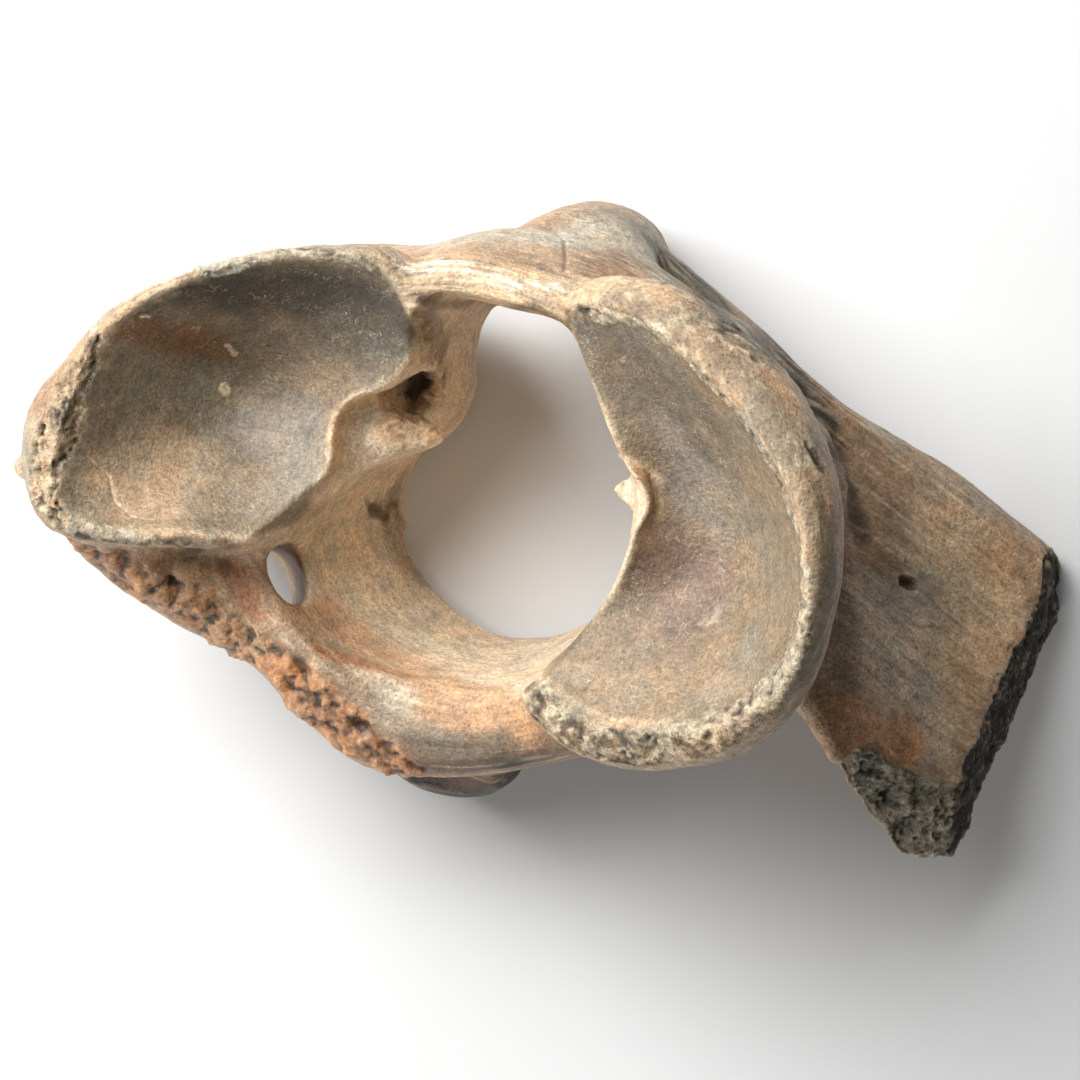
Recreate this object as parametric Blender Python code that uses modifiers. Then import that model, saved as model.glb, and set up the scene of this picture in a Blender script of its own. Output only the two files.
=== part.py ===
"""Fossil atlas, the first neck vertebra, of a woolly rhinoceros, life size, lying as it rests.

The bone is modelled in its own anatomical frame, in metres: +X to the side that keeps its wing, +Y to the
throat (ventral), +Z to the skull (cranial). The origin is on the midline, in the middle of the canal, level with
the inner edges of the two cups that hold the skull's condyles. The finished bone is then turned to its rest
pose, skull side up, and its lowest points are ground flat where it meets the floor.
"""

import math

import bmesh
import bpy
import numpy as np
from mathutils import Matrix, Vector

NODE_NAME = "atlas_vertebra"

# Rest pose: turn in the floor's plane, lean of the skull side to -X, nod of the skull side to -Y
REST_TURN = math.radians(-16.0)
REST_LEAN = math.radians(14.0)
REST_NOD = math.radians(12.0)
ORIGIN_OVER_FLOOR = 0.0696

# Levels along the bone, skull end to rear
RIGHT_CUP_FLOOR = (0.0520, -0.0040, -0.0085)
LEFT_CUP_FLOOR = (-0.0480, 0.0020, -0.0070)
FACET_LEVEL = -0.0620
CANAL_FRONT = -0.0040
CANAL_REAR = -0.0540

# Finish of the mesh
SIDES = 96
BLEND_VOXEL = 0.0012
BLEND_PASSES = 12
CRISP_VOXEL = 0.0008
EDGE_PASSES = 3
TRIANGLE_BUDGET = 10400

# Inner edge of each cup's rim, from its throat-side corner round by the outer side: x, y, z, width of the lip
RIGHT_RIM = [
    (0.0160, 0.0385, 0.006, 0.0040),
    (0.0310, 0.0395, 0.012, 0.0080),
    (0.0460, 0.0345, 0.019, 0.0095),
    (0.0595, 0.0280, 0.024, 0.0090),
    (0.0705, 0.0180, 0.028, 0.0075),
    (0.0770, 0.0065, 0.030, 0.0052),
    (0.0790, -0.0050, 0.029, 0.0045),
    (0.0770, -0.0185, 0.025, 0.0050),
    (0.0690, -0.0290, 0.020, 0.0080),
    (0.0560, -0.0355, 0.015, 0.0108),
    (0.0410, -0.0395, 0.010, 0.0115),
    (0.0290, -0.0380, 0.005, 0.0110),
    (0.0195, -0.0340, 0.001, 0.0050),
    (0.0280, -0.0270, -0.001, 0.0010),
    (0.0340, -0.0170, -0.002, 0.0010),
    (0.0360, -0.0065, -0.002, 0.0040),
    (0.0387, 0.0013, -0.003, 0.0070),
    (0.0360, 0.0080, -0.003, 0.0060),
    (0.0295, 0.0100, -0.002, 0.0030),
    (0.0260, 0.0157, -0.001, 0.0010),
    (0.0200, 0.0237, 0.001, 0.0010),
    (0.0157, 0.0310, 0.003, 0.0015),
]
LEFT_RIM = [
    (-0.0260, 0.0365, 0.008, 0.0030),
    (-0.0340, 0.0360, 0.012, 0.0020),
    (-0.0447, 0.0330, 0.017, 0.0016),
    (-0.0556, 0.0277, 0.022, 0.0018),
    (-0.0650, 0.0200, 0.026, 0.0024),
    (-0.0720, 0.0110, 0.028, 0.0042),
    (-0.0740, 0.0020, 0.029, 0.0070),
    (-0.0757, -0.0094, 0.030, 0.0108),
    (-0.0744, -0.0227, 0.029, 0.0095),
    (-0.0700, -0.0270, 0.027, 0.0065),
    (-0.0610, -0.0276, 0.024, 0.0040),
    (-0.0504, -0.0254, 0.019, 0.0040),
    (-0.0400, -0.0245, 0.012, 0.0040),
    (-0.0330, -0.0217, 0.006, 0.0030),
    (-0.0305, -0.0140, 0.003, 0.0010),
    (-0.0290, -0.0065, 0.000, 0.0010),
    (-0.0310, 0.0013, -0.001, 0.0010),
    (-0.0280, 0.0070, -0.002, 0.0010),
    (-0.0215, 0.0110, -0.002, 0.0010),
    (-0.0176, 0.0176, -0.001, 0.0010),
    (-0.0170, 0.0240, 0.001, 0.0015),
    (-0.0210, 0.0317, 0.004, 0.0020),
]

# Sections of the two sides of the bone below the cups, each from the same corner as the rims
RIGHT_NECK = [
    (0.0150, 0.0360),
    (0.0340, 0.0390),
    (0.0520, 0.0350),
    (0.0650, 0.0230),
    (0.0715, 0.0080),
    (0.0710, -0.0120),
    (0.0640, -0.0270),
    (0.0530, -0.0370),
    (0.0400, -0.0400),
    (0.0250, -0.0360),
    (0.0250, -0.0260),
    (0.0290, -0.0100),
    (0.0270, 0.0060),
    (0.0180, 0.0240),
]
RIGHT_WAIST = [
    (0.0130, 0.0340),
    (0.0320, 0.0370),
    (0.0490, 0.0310),
    (0.0620, 0.0200),
    (0.0680, 0.0040),
    (0.0660, -0.0140),
    (0.0580, -0.0280),
    (0.0460, -0.0350),
    (0.0360, -0.0370),
    (0.0220, -0.0340),
    (0.0220, -0.0240),
    (0.0240, -0.0080),
    (0.0220, 0.0080),
    (0.0160, 0.0220),
]
RIGHT_FOOT = [
    (0.0120, 0.0310),
    (0.0300, 0.0340),
    (0.0460, 0.0270),
    (0.0600, 0.0170),
    (0.0680, 0.0020),
    (0.0660, -0.0140),
    (0.0560, -0.0260),
    (0.0460, -0.0310),
    (0.0360, -0.0320),
    (0.0240, -0.0290),
    (0.0210, -0.0200),
    (0.0200, -0.0060),
    (0.0190, 0.0080),
    (0.0140, 0.0200),
]
LEFT_NECK = [
    (-0.0210, 0.0330),
    (-0.0400, 0.0285),
    (-0.0550, 0.0210),
    (-0.0670, 0.0080),
    (-0.0710, -0.0080),
    (-0.0690, -0.0240),
    (-0.0570, -0.0340),
    (-0.0430, -0.0350),
    (-0.0290, -0.0270),
    (-0.0190, -0.0120),
    (-0.0160, 0.0000),
    (-0.0150, 0.0120),
    (-0.0160, 0.0240),
]
LEFT_WAIST = [
    (-0.0150, 0.0320),
    (-0.0340, 0.0285),
    (-0.0500, 0.0210),
    (-0.0600, 0.0080),
    (-0.0620, -0.0060),
    (-0.0590, -0.0190),
    (-0.0500, -0.0260),
    (-0.0380, -0.0270),
    (-0.0250, -0.0220),
    (-0.0170, -0.0120),
    (-0.0140, 0.0000),
    (-0.0130, 0.0120),
    (-0.0130, 0.0240),
]
LEFT_FOOT = [
    (-0.0120, 0.0280),
    (-0.0290, 0.0260),
    (-0.0450, 0.0210),
    (-0.0600, 0.0110),
    (-0.0670, 0.0000),
    (-0.0650, -0.0140),
    (-0.0560, -0.0260),
    (-0.0420, -0.0310),
    (-0.0280, -0.0290),
    (-0.0200, -0.0200),
    (-0.0170, -0.0060),
    (-0.0150, 0.0080),
    (-0.0120, 0.0190),
]

# The canal's outline at the skull end and at the rear, each from the middle of the throat side
CANAL_FRONT_OUTLINE = [
    (0.0000, 0.0325),
    (-0.0120, 0.0315),
    (-0.0170, 0.0260),
    (-0.0165, 0.0160),
    (-0.0180, 0.0050),
    (-0.0250, -0.0060),
    (-0.0330, -0.0200),
    (-0.0370, -0.0330),
    (-0.0300, -0.0440),
    (-0.0170, -0.0490),
    (0.0000, -0.0490),
    (0.0150, -0.0455),
    (0.0250, -0.0350),
    (0.0330, -0.0190),
    (0.0350, -0.0060),
    (0.0340, 0.0040),
    (0.0290, 0.0100),
    (0.0245, 0.0160),
    (0.0190, 0.0240),
    (0.0130, 0.0320),
]
CANAL_REAR_OUTLINE = [
    (0.0000, 0.0290),
    (-0.0120, 0.0270),
    (-0.0185, 0.0220),
    (-0.0190, 0.0140),
    (-0.0170, 0.0050),
    (-0.0195, -0.0040),
    (-0.0255, -0.0110),
    (-0.0280, -0.0210),
    (-0.0235, -0.0310),
    (-0.0150, -0.0395),
    (-0.0030, -0.0440),
    (0.0100, -0.0420),
    (0.0200, -0.0350),
    (0.0270, -0.0240),
    (0.0270, -0.0130),
    (0.0220, -0.0050),
    (0.0180, 0.0040),
    (0.0190, 0.0130),
    (0.0180, 0.0220),
    (0.0110, 0.0275),
]

# Bars and plates: stations of centre, half width and half thickness
VENTRAL_ARCH = [
    ((-0.0420, 0.0225, -0.0280), (0.0, 0.0000, 0.0320), (0.000, 0.0110, 0.000)),
    ((-0.0270, 0.0293, -0.0145), (0.0, -0.0023, 0.0195), (0.000, 0.0075, 0.001)),
    ((-0.0120, 0.0357, -0.0135), (0.0, -0.0034, 0.0185), (0.000, 0.0085, 0.002)),
    ((0.0010, 0.0371, -0.0165), (0.0, -0.0039, 0.0215), (0.000, 0.0085, 0.002)),
    ((0.0120, 0.0372, -0.0195), (0.0, -0.0038, 0.0255), (0.000, 0.0080, 0.002)),
    ((0.0260, 0.0342, -0.0190), (0.0, -0.0022, 0.0250), (0.000, 0.0080, 0.002)),
    ((0.0420, 0.0240, -0.0280), (0.0, 0.0000, 0.0330), (0.000, 0.0120, 0.000)),
]
VENTRAL_TUBERCLE = [
    ((0.0030, 0.0400, -0.026), (0.0180, 0.0, 0.0), (0.000, 0.0050, 0.000)),
    ((0.0035, 0.0425, -0.042), (0.0145, 0.0, 0.0), (0.000, 0.0090, 0.000)),
    ((0.0028, 0.0415, -0.058), (0.0125, 0.0, 0.0), (0.000, 0.0105, 0.000)),
    ((0.0020, 0.0385, -0.074), (0.0115, 0.0, 0.0), (0.000, 0.0105, 0.000)),
    ((0.0015, 0.0360, -0.086), (0.0095, 0.0, 0.0), (0.000, 0.0080, 0.000)),
]
DORSAL_ARCH = [
    ((-0.0460, -0.0140, -0.032), (-0.003, -0.002, 0.026), (0.004, 0.0130, 0.000)),
    ((-0.0370, -0.0330, -0.029), (-0.004, -0.004, 0.026), (0.009, 0.0110, 0.000)),
    ((-0.0260, -0.0460, -0.030), (-0.002, -0.004, 0.027), (0.008, 0.0130, 0.000)),
    ((-0.0110, -0.0545, -0.032), (0.000, -0.003, 0.026), (0.003, 0.0170, 0.000)),
    ((0.0040, -0.0540, -0.033), (0.000, -0.003, 0.026), (-0.001, 0.0150, 0.000)),
    ((0.0190, -0.0480, -0.033), (0.002, -0.003, 0.026), (-0.007, 0.0110, 0.000)),
    ((0.0340, -0.0360, -0.033), (0.004, -0.003, 0.027), (-0.009, 0.0100, 0.000)),
    ((0.0450, -0.0160, -0.034), (0.003, -0.002, 0.026), (-0.004, 0.0130, 0.000)),
]
DORSAL_SHOULDER = [
    ((-0.0060, -0.0620, -0.030), (0.0, 0.000, 0.014), (0.004, 0.0120, 0.000)),
    ((-0.0250, -0.0555, -0.025), (0.0, 0.000, 0.012), (0.005, 0.0085, 0.000)),
    ((-0.0390, -0.0475, -0.017), (0.0, 0.000, 0.012), (0.005, 0.0078, 0.000)),
    ((-0.0500, -0.0430, -0.009), (0.0, 0.000, 0.012), (0.005, 0.0078, 0.000)),
    ((-0.0620, -0.0360, 0.002), (0.0, 0.000, 0.012), (0.004, 0.0078, 0.000)),
    ((-0.0710, -0.0290, 0.012), (0.0, 0.000, 0.010), (0.004, 0.0070, 0.000)),
]
RIGHT_WING = [
    ((0.0500, -0.0080, -0.0530), (0.0, 0.022, -0.021), (0.000, 0.0075, 0.0075)),
    ((0.0610, -0.0080, -0.0530), (0.0, 0.025, -0.023), (0.000, 0.0060, 0.0065)),
    ((0.0720, -0.0110, -0.0530), (0.0, 0.026, -0.024), (0.000, 0.0048, 0.0052)),
    ((0.0830, -0.0190, -0.0550), (0.0, 0.029, -0.027), (0.000, 0.0045, 0.0050)),
    ((0.0925, -0.0330, -0.0572), (0.0, 0.0370, -0.0302), (0.000, 0.0052, 0.0058)),
    ((0.1020, -0.0425, -0.0604), (0.0, 0.0410, -0.0324), (0.000, 0.0064, 0.0070)),
    ((0.1170, -0.0460, -0.0674), (0.0, 0.0410, -0.0324), (0.000, 0.0070, 0.0076)),
]
REAR_RIDGE = [
    ((0.0040, 0.0425, -0.0560), (0.0, 0.002, 0.010), (0.001, 0.0075, 0.000)),
    ((0.0220, 0.0340, -0.0600), (0.0, 0.002, 0.010), (0.002, 0.0072, 0.000)),
    ((0.0360, 0.0270, -0.0630), (0.0, 0.002, 0.010), (0.002, 0.0068, 0.000)),
    ((0.0480, 0.0195, -0.0660), (0.0, 0.001, 0.010), (0.002, 0.0066, 0.000)),
    ((0.0600, 0.0136, -0.0700), (0.0, 0.001, 0.010), (0.002, 0.0066, 0.000)),
    ((0.0710, 0.0095, -0.0750), (0.0, 0.000, 0.010), (0.002, 0.0064, 0.000)),
    ((0.0830, 0.0045, -0.0800), (0.0, 0.000, 0.010), (0.002, 0.0064, 0.000)),
    ((0.0960, -0.0025, -0.0860), (0.0, 0.000, 0.011), (0.002, 0.0064, 0.000)),
    ((0.1180, -0.0130, -0.0940), (0.0, 0.000, 0.011), (0.002, 0.0064, 0.000)),
]
LEFT_SPUR = [
    ((-0.0260, -0.0040, -0.017), (0.003, 0.000, 0.006), (0.000, 0.0060, 0.000)),
    ((-0.0200, -0.0015, -0.019), (0.002, 0.000, 0.005), (0.000, 0.0045, 0.000)),
    ((-0.0150, 0.0000, -0.020), (0.001, 0.000, 0.003), (0.000, 0.0030, 0.000)),
    ((-0.0115, 0.0005, -0.020), (0.000, 0.000, 0.0012), (0.000, 0.0012, 0.000)),
]
RIGHT_SPUR = [
    ((0.0400, 0.0000, -0.014), (0.002, 0.000, 0.005), (0.000, 0.0060, 0.000)),
    ((0.0340, 0.0005, -0.014), (0.001, 0.000, 0.004), (0.000, 0.0045, 0.000)),
    ((0.0290, 0.0010, -0.015), (0.001, 0.000, 0.002), (0.000, 0.0025, 0.000)),
    ((0.0258, 0.0010, -0.015), (0.000, 0.000, 0.0010), (0.000, 0.0010, 0.000)),
]
# Hole through the left root of the dorsal arch, along the way the bone is looked at
NERVE_HOLE = [
    ((-0.0290, -0.0300, 0.012), (0.0045, -0.0055, 0.0), (0.0045, 0.0035, 0.0)),
    ((-0.0330, -0.0330, -0.004), (0.0045, -0.0055, 0.0), (0.0036, 0.0028, 0.0)),
    ((-0.0410, -0.0385, -0.022), (0.0045, -0.0055, 0.0), (0.0034, 0.0026, 0.0)),
    ((-0.0525, -0.0480, -0.045), (0.0055, -0.0070, 0.0), (0.0050, 0.0040, 0.0)),
    ((-0.0640, -0.0580, -0.075), (0.0080, -0.0090, 0.0), (0.0080, 0.0060, 0.0)),
]
# Faces left by the break at the end of the wing, as the bone lies: a point, the way it faces, half its breadth
WING_BREAKS = [
    ((0.1215, -0.0200, 0.020), (0.96, 0.00, 0.28), 0.060),
    ((0.1168, -0.0400, 0.020), (0.90, -0.27, 0.35), 0.060),
    ((0.1000, -0.0812, 0.030), (0.02, -0.99, 0.10), 0.020),
    ((0.0960, -0.0690, 0.040), (0.20, -0.50, 0.84), 0.020),
]
LEFT_STUMP = [
    ((-0.0480, -0.0060, -0.0460), (0.0, 0.022, -0.021), (0.000, 0.0075, 0.0075)),
    ((-0.0600, -0.0080, -0.0460), (0.0, 0.026, -0.022), (0.000, 0.0060, 0.0065)),
    ((-0.0680, -0.0100, -0.0460), (0.0, 0.024, -0.020), (0.000, 0.0050, 0.0055)),
]
# Ellipsoids cut from the bone: centre, radii and turn about each axis in degrees
HOLLOWS = {
    "canal_pit": ((-0.0205, 0.0085, -0.0170), (0.0062, 0.0056, 0.0085), (0, 0, 0)),
    "dorsal_scoop": ((0.0040, -0.0760, -0.0230), (0.0200, 0.0085, 0.0120), (0, 0, 0)),
    "right_facet": ((0.0440, -0.0080, -0.0720), (0.0230, 0.0180, 0.0125), (0, 0, -20)),
}
# Hollow of the left facet, which meets the floor with its rim: as the bone lies
LEFT_FACET = ((-0.0325, 0.0180, -0.0045), (0.0160, 0.0250, 0.0095), (0, 0, 8))


def clear_scene():
    for obj in list(bpy.data.objects):
        bpy.data.objects.remove(obj)


def new_object(name, mesh, collection):
    obj = bpy.data.objects.new(name, mesh)
    collection.objects.link(obj)
    return obj


def smooth_loop(points, sides=SIDES):
    """Closed Catmull-Rom curve through the points, anticlockwise from the first, in even steps of its length."""
    p = np.array(points, float)
    after = np.roll(p, -1, 0)
    if np.sum(p[:, 0] * after[:, 1] - after[:, 0] * p[:, 1]) < 0:
        p = np.roll(p[::-1], 1, 0)
    before, after, beyond = np.roll(p, 1, 0), np.roll(p, -1, 0), np.roll(p, -2, 0)
    t = np.linspace(0.0, 1.0, 16, endpoint=False)[None, :, None]
    a, b, c, d = (q[:, None, :] for q in (before, p, after, beyond))
    curve = 0.5 * (2 * b + (c - a) * t + (2 * a - 5 * b + 4 * c - d) * t**2 + (3 * b - a - 3 * c + d) * t**3)
    curve = curve.reshape(-1, p.shape[1])
    curve = np.vstack([curve, curve[:1]])
    run = np.r_[0.0, np.cumsum(np.linalg.norm(np.diff(curve[:, :2], axis=0), axis=1))]
    wanted = np.linspace(0.0, run[-1], sides, endpoint=False)
    return np.stack([np.interp(wanted, run, column) for column in curve.T], axis=1)


def level_ring(outline, level):
    """An outline given in plan, smoothed and set at a level."""
    ring = smooth_loop(outline)
    return np.column_stack([ring, np.full(len(ring), level)])


def outset(ring, amount, drop):
    """The ring moved outwards in plan by an amount, or one amount for each point, and lowered."""
    along = (np.roll(ring, -1, 0) - np.roll(ring, 1, 0))[:, :2]
    along /= np.linalg.norm(along, axis=1)[:, None]
    moved = ring[:, :3].copy()
    moved[:, :2] += np.stack([along[:, 1], -along[:, 0]], axis=1) * np.reshape(amount, (-1, 1))
    moved[:, 2] -= drop
    return moved


def plate_ring(centre, wide, thick, squareness=2.0, sides=SIDES):
    """A superellipse about a centre, spanned by two half-axis vectors."""
    angle = np.linspace(0.0, 2 * math.pi, sides, endpoint=False)
    c, s = np.cos(angle), np.sin(angle)
    power = 2.0 / squareness
    c, s = np.sign(c) * np.abs(c) ** power, np.sign(s) * np.abs(s) ** power
    return np.array(centre) + c[:, None] * np.array(wide) + s[:, None] * np.array(thick)


def loft(name, rings, collection):
    """A closed mesh through rings of equal length, each end closed by a fan."""
    bm = bmesh.new()
    rows = [[bm.verts.new(Vector(p)) for p in ring] for ring in rings]
    count = len(rows[0])
    for lower, upper in zip(rows, rows[1:]):
        for i in range(count):
            j = (i + 1) % count
            bm.faces.new((lower[i], lower[j], upper[j], upper[i]))
    for row in (rows[0], rows[-1]):
        tip = bm.verts.new(sum((v.co for v in row), Vector()) / count)
        for i in range(count):
            bm.faces.new((row[i], row[(i + 1) % count], tip))
    bmesh.ops.recalc_face_normals(bm, faces=bm.faces)
    mesh = bpy.data.meshes.new(name)
    bm.to_mesh(mesh)
    bm.free()
    return new_object(name, mesh, collection)


def sweep(name, stations, collection, squareness=2.0, steps=6):
    """A loft along stations of (centre, half width, half thickness), eased between them."""
    rows = np.array([[*c, *w, *t] for c, w, t in stations], float)
    ends = np.vstack([2 * rows[0] - rows[1], rows, 2 * rows[-1] - rows[-2]])
    rings = []
    for k in range(len(rows) - 1):
        a, b, c, d = ends[k : k + 4]
        for t in np.linspace(0, 1, steps, endpoint=k == len(rows) - 2):
            v = 0.5 * (2 * b + (c - a) * t + (2 * a - 5 * b + 4 * c - d) * t**2 + (3 * b - a - 3 * c + d) * t**3)
            rings.append(plate_ring(v[:3], v[3:6], v[6:], squareness, sides=48))
    return loft(name, rings, collection)


def ball(name, centre, radii, collection, turn=(0, 0, 0)):
    """An ellipsoid, turned about X, Y and then Z by so many degrees."""
    turn = [math.radians(angle) for angle in turn]
    bm = bmesh.new()
    bmesh.ops.create_uvsphere(bm, u_segments=40, v_segments=24, radius=1.0)
    bmesh.ops.scale(bm, vec=radii, verts=bm.verts)
    spin = Matrix.Rotation(turn[2], 4, "Z") @ Matrix.Rotation(turn[1], 4, "Y") @ Matrix.Rotation(turn[0], 4, "X")
    bmesh.ops.transform(bm, matrix=Matrix.Translation(centre) @ spin, verts=bm.verts)
    mesh = bpy.data.meshes.new(name)
    bm.to_mesh(mesh)
    bm.free()
    return new_object(name, mesh, collection)


def lateral_mass(name, rim, neck, waist, foot, collection):
    """One side of the bone: its top follows the cup's rim, its foot carries the rear facet."""
    top = smooth_loop(rim)
    lip = top[:, 3]
    rings = [
        outset(top, lip * 0.15, -0.0015),
        outset(top, lip * 0.62, 0.0005),
        outset(top, lip * 0.93, 0.005),
        outset(top, lip * 1.0, 0.010),
        level_ring(neck, -0.016),
        level_ring(waist, -0.034),
        level_ring(foot, FACET_LEVEL + 0.008),
        outset(level_ring(foot, FACET_LEVEL), -0.004, 0.0),
    ]
    return loft(name, rings, collection)


def cup_cutter(name, rim, floor, collection):
    """The hollow of one articular cup: it falls from the rim to its floor, and is open upwards. Notches in the
    rim fade out as it falls."""
    top = smooth_loop(rim)[:, :3]
    rings = [outset(top, 0.004, -0.050), outset(top, 0.0010, -0.004), top]
    eased = top.copy()
    for share in (0.05, 0.10, 0.16, 0.24, 0.36, 0.50, 0.65, 0.80, 0.92):
        for _ in range(14):
            eased = (np.roll(eased, 1, 0) + 2 * eased + np.roll(eased, -1, 0)) / 4
        ring = eased + (np.array(floor) - eased) * share
        ring[:, 2] = eased[:, 2] + (floor[2] - eased[:, 2]) * (1.0 - (1.0 - share) ** 1.9)
        rings.append(ring)
    return loft(name, rings, collection)


def masses(collection):
    return [
        lateral_mass("right_mass", RIGHT_RIM, RIGHT_NECK, RIGHT_WAIST, RIGHT_FOOT, collection),
        lateral_mass("left_mass", LEFT_RIM, LEFT_NECK, LEFT_WAIST, LEFT_FOOT, collection),
        sweep("ventral_arch", VENTRAL_ARCH, collection, squareness=2.6),
        sweep("ventral_tubercle", VENTRAL_TUBERCLE, collection),
        sweep("dorsal_arch", DORSAL_ARCH, collection, squareness=2.2),
        ball("dorsal_tubercle", (-0.001, -0.0655, -0.0380), (0.017, 0.0125, 0.015), collection),
        sweep("dorsal_shoulder", DORSAL_SHOULDER, collection),
        sweep("right_wing", RIGHT_WING, collection, squareness=2.8),
        sweep("rear_ridge", REAR_RIDGE, collection),
        sweep("left_wing_stump", LEFT_STUMP, collection, squareness=2.8),
    ]


def canal_cutter(collection):
    """The canal, which narrows from its mouth under the skull to the rear, with a flare at each end."""
    front = level_ring(CANAL_FRONT_OUTLINE, CANAL_FRONT)
    rear = level_ring(CANAL_REAR_OUTLINE, CANAL_REAR)
    rings = [outset(front, 0.012, -0.060), outset(front, 0.0015, -0.006), front]
    for share in (0.2, 0.4, 0.6, 0.8):
        rings.append(front + (rear - front) * share)
    rings += [rear, outset(rear, 0.003, 0.008), outset(rear, 0.012, 0.040)]
    return loft("canal", rings, collection)


def evaluated_mesh(obj):
    graph = bpy.context.evaluated_depsgraph_get()
    return bpy.data.meshes.new_from_object(obj.evaluated_get(graph))


def apply_modifiers(obj):
    mesh = evaluated_mesh(obj)
    obj.modifiers.clear()
    obj.data = mesh


def boolean(obj, operation, collection, solver="EXACT"):
    change = obj.modifiers.new(operation.lower(), "BOOLEAN")
    change.operation = operation
    change.operand_type = "COLLECTION"
    change.collection = collection
    change.solver = solver
    apply_modifiers(obj)


def keep_largest_shell(obj):
    bm = bmesh.new()
    bm.from_mesh(obj.data)
    left, shells = set(bm.faces), []
    while left:
        stack, shell = [left.pop()], []
        while stack:
            face = stack.pop()
            shell.append(face)
            for edge in face.edges:
                for other in edge.link_faces:
                    if other in left:
                        left.remove(other)
                        stack.append(other)
        shells.append(shell)
    shells.sort(key=len)
    for shell in shells[:-1]:
        bmesh.ops.delete(bm, geom=shell, context="FACES")
    bm.to_mesh(obj.data)
    bm.free()


def blend_creases(obj, voxel, passes):
    """One skin over all the pieces, with its creases eased by so many passes."""
    grid = obj.modifiers.new("one skin", "REMESH")
    grid.mode = "VOXEL"
    grid.voxel_size = voxel
    if passes:
        ease = obj.modifiers.new("ease creases", "SMOOTH")
        ease.factor = 0.6
        ease.iterations = passes
    apply_modifiers(obj)


def thin_out(obj, budget):
    obj.data.calc_loop_triangles()
    count = len(obj.data.loop_triangles)
    fewer = obj.modifiers.new("fewer triangles", "DECIMATE")
    fewer.ratio = budget / count
    fewer.use_collapse_triangulate = True
    apply_modifiers(obj)


def rest_matrix():
    """Turns the bone from its anatomical frame to the way it lies, skull side up."""
    lean = Matrix.Rotation(REST_TURN, 4, "Z") @ Matrix.Rotation(-REST_LEAN, 4, "Y") @ Matrix.Rotation(REST_NOD, 4, "X")
    return Matrix.Translation((0.0, 0.0, ORIGIN_OVER_FLOOR)) @ lean


def slab(name, point, facing, breadth, collection):
    """A block whose near face is centred on the point, to cut off what lies beyond it."""
    bm = bmesh.new()
    bmesh.ops.create_cube(bm, size=2.0, matrix=Matrix.Translation((0.0, 0.0, 1.0)))
    bmesh.ops.scale(bm, vec=(breadth, breadth, 0.03), verts=bm.verts)
    turn = Vector(facing).to_track_quat("Z", "Y").to_matrix().to_4x4()
    bmesh.ops.transform(bm, matrix=Matrix.Translation(point) @ turn, verts=bm.verts)
    mesh = bpy.data.meshes.new(name)
    bm.to_mesh(mesh)
    bm.free()
    return new_object(name, mesh, collection)


def grind_flats(obj, collection):
    """Takes off what reaches below the floor, which leaves a small flat at each point of contact."""
    bm = bmesh.new()
    bmesh.ops.create_cube(bm, size=0.6, matrix=Matrix.Translation((0.0, 0.0, -0.3)))
    mesh = bpy.data.meshes.new("floor_cut")
    bm.to_mesh(mesh)
    bm.free()
    new_object("floor_cut", mesh, collection)
    boolean(obj, "DIFFERENCE", collection, solver="MANIFOLD")


def new_collection(name, helper=False):
    made = bpy.data.collections.new(name)
    bpy.context.scene.collection.children.link(made)
    made.hide_render = helper
    return made


def remove_collection(collection):
    for obj in list(collection.objects):
        bpy.data.objects.remove(obj)
    bpy.data.collections.remove(collection)


def bone_material():
    made = bpy.data.materials.new("fossil_bone")
    made.use_nodes = True
    shader = made.node_tree.nodes["Principled BSDF"]
    shader.inputs["Base Color"].default_value = (0.42, 0.28, 0.17, 1.0)
    shader.inputs["Roughness"].default_value = 0.55
    shader.inputs["Metallic"].default_value = 0.0
    return made


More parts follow.
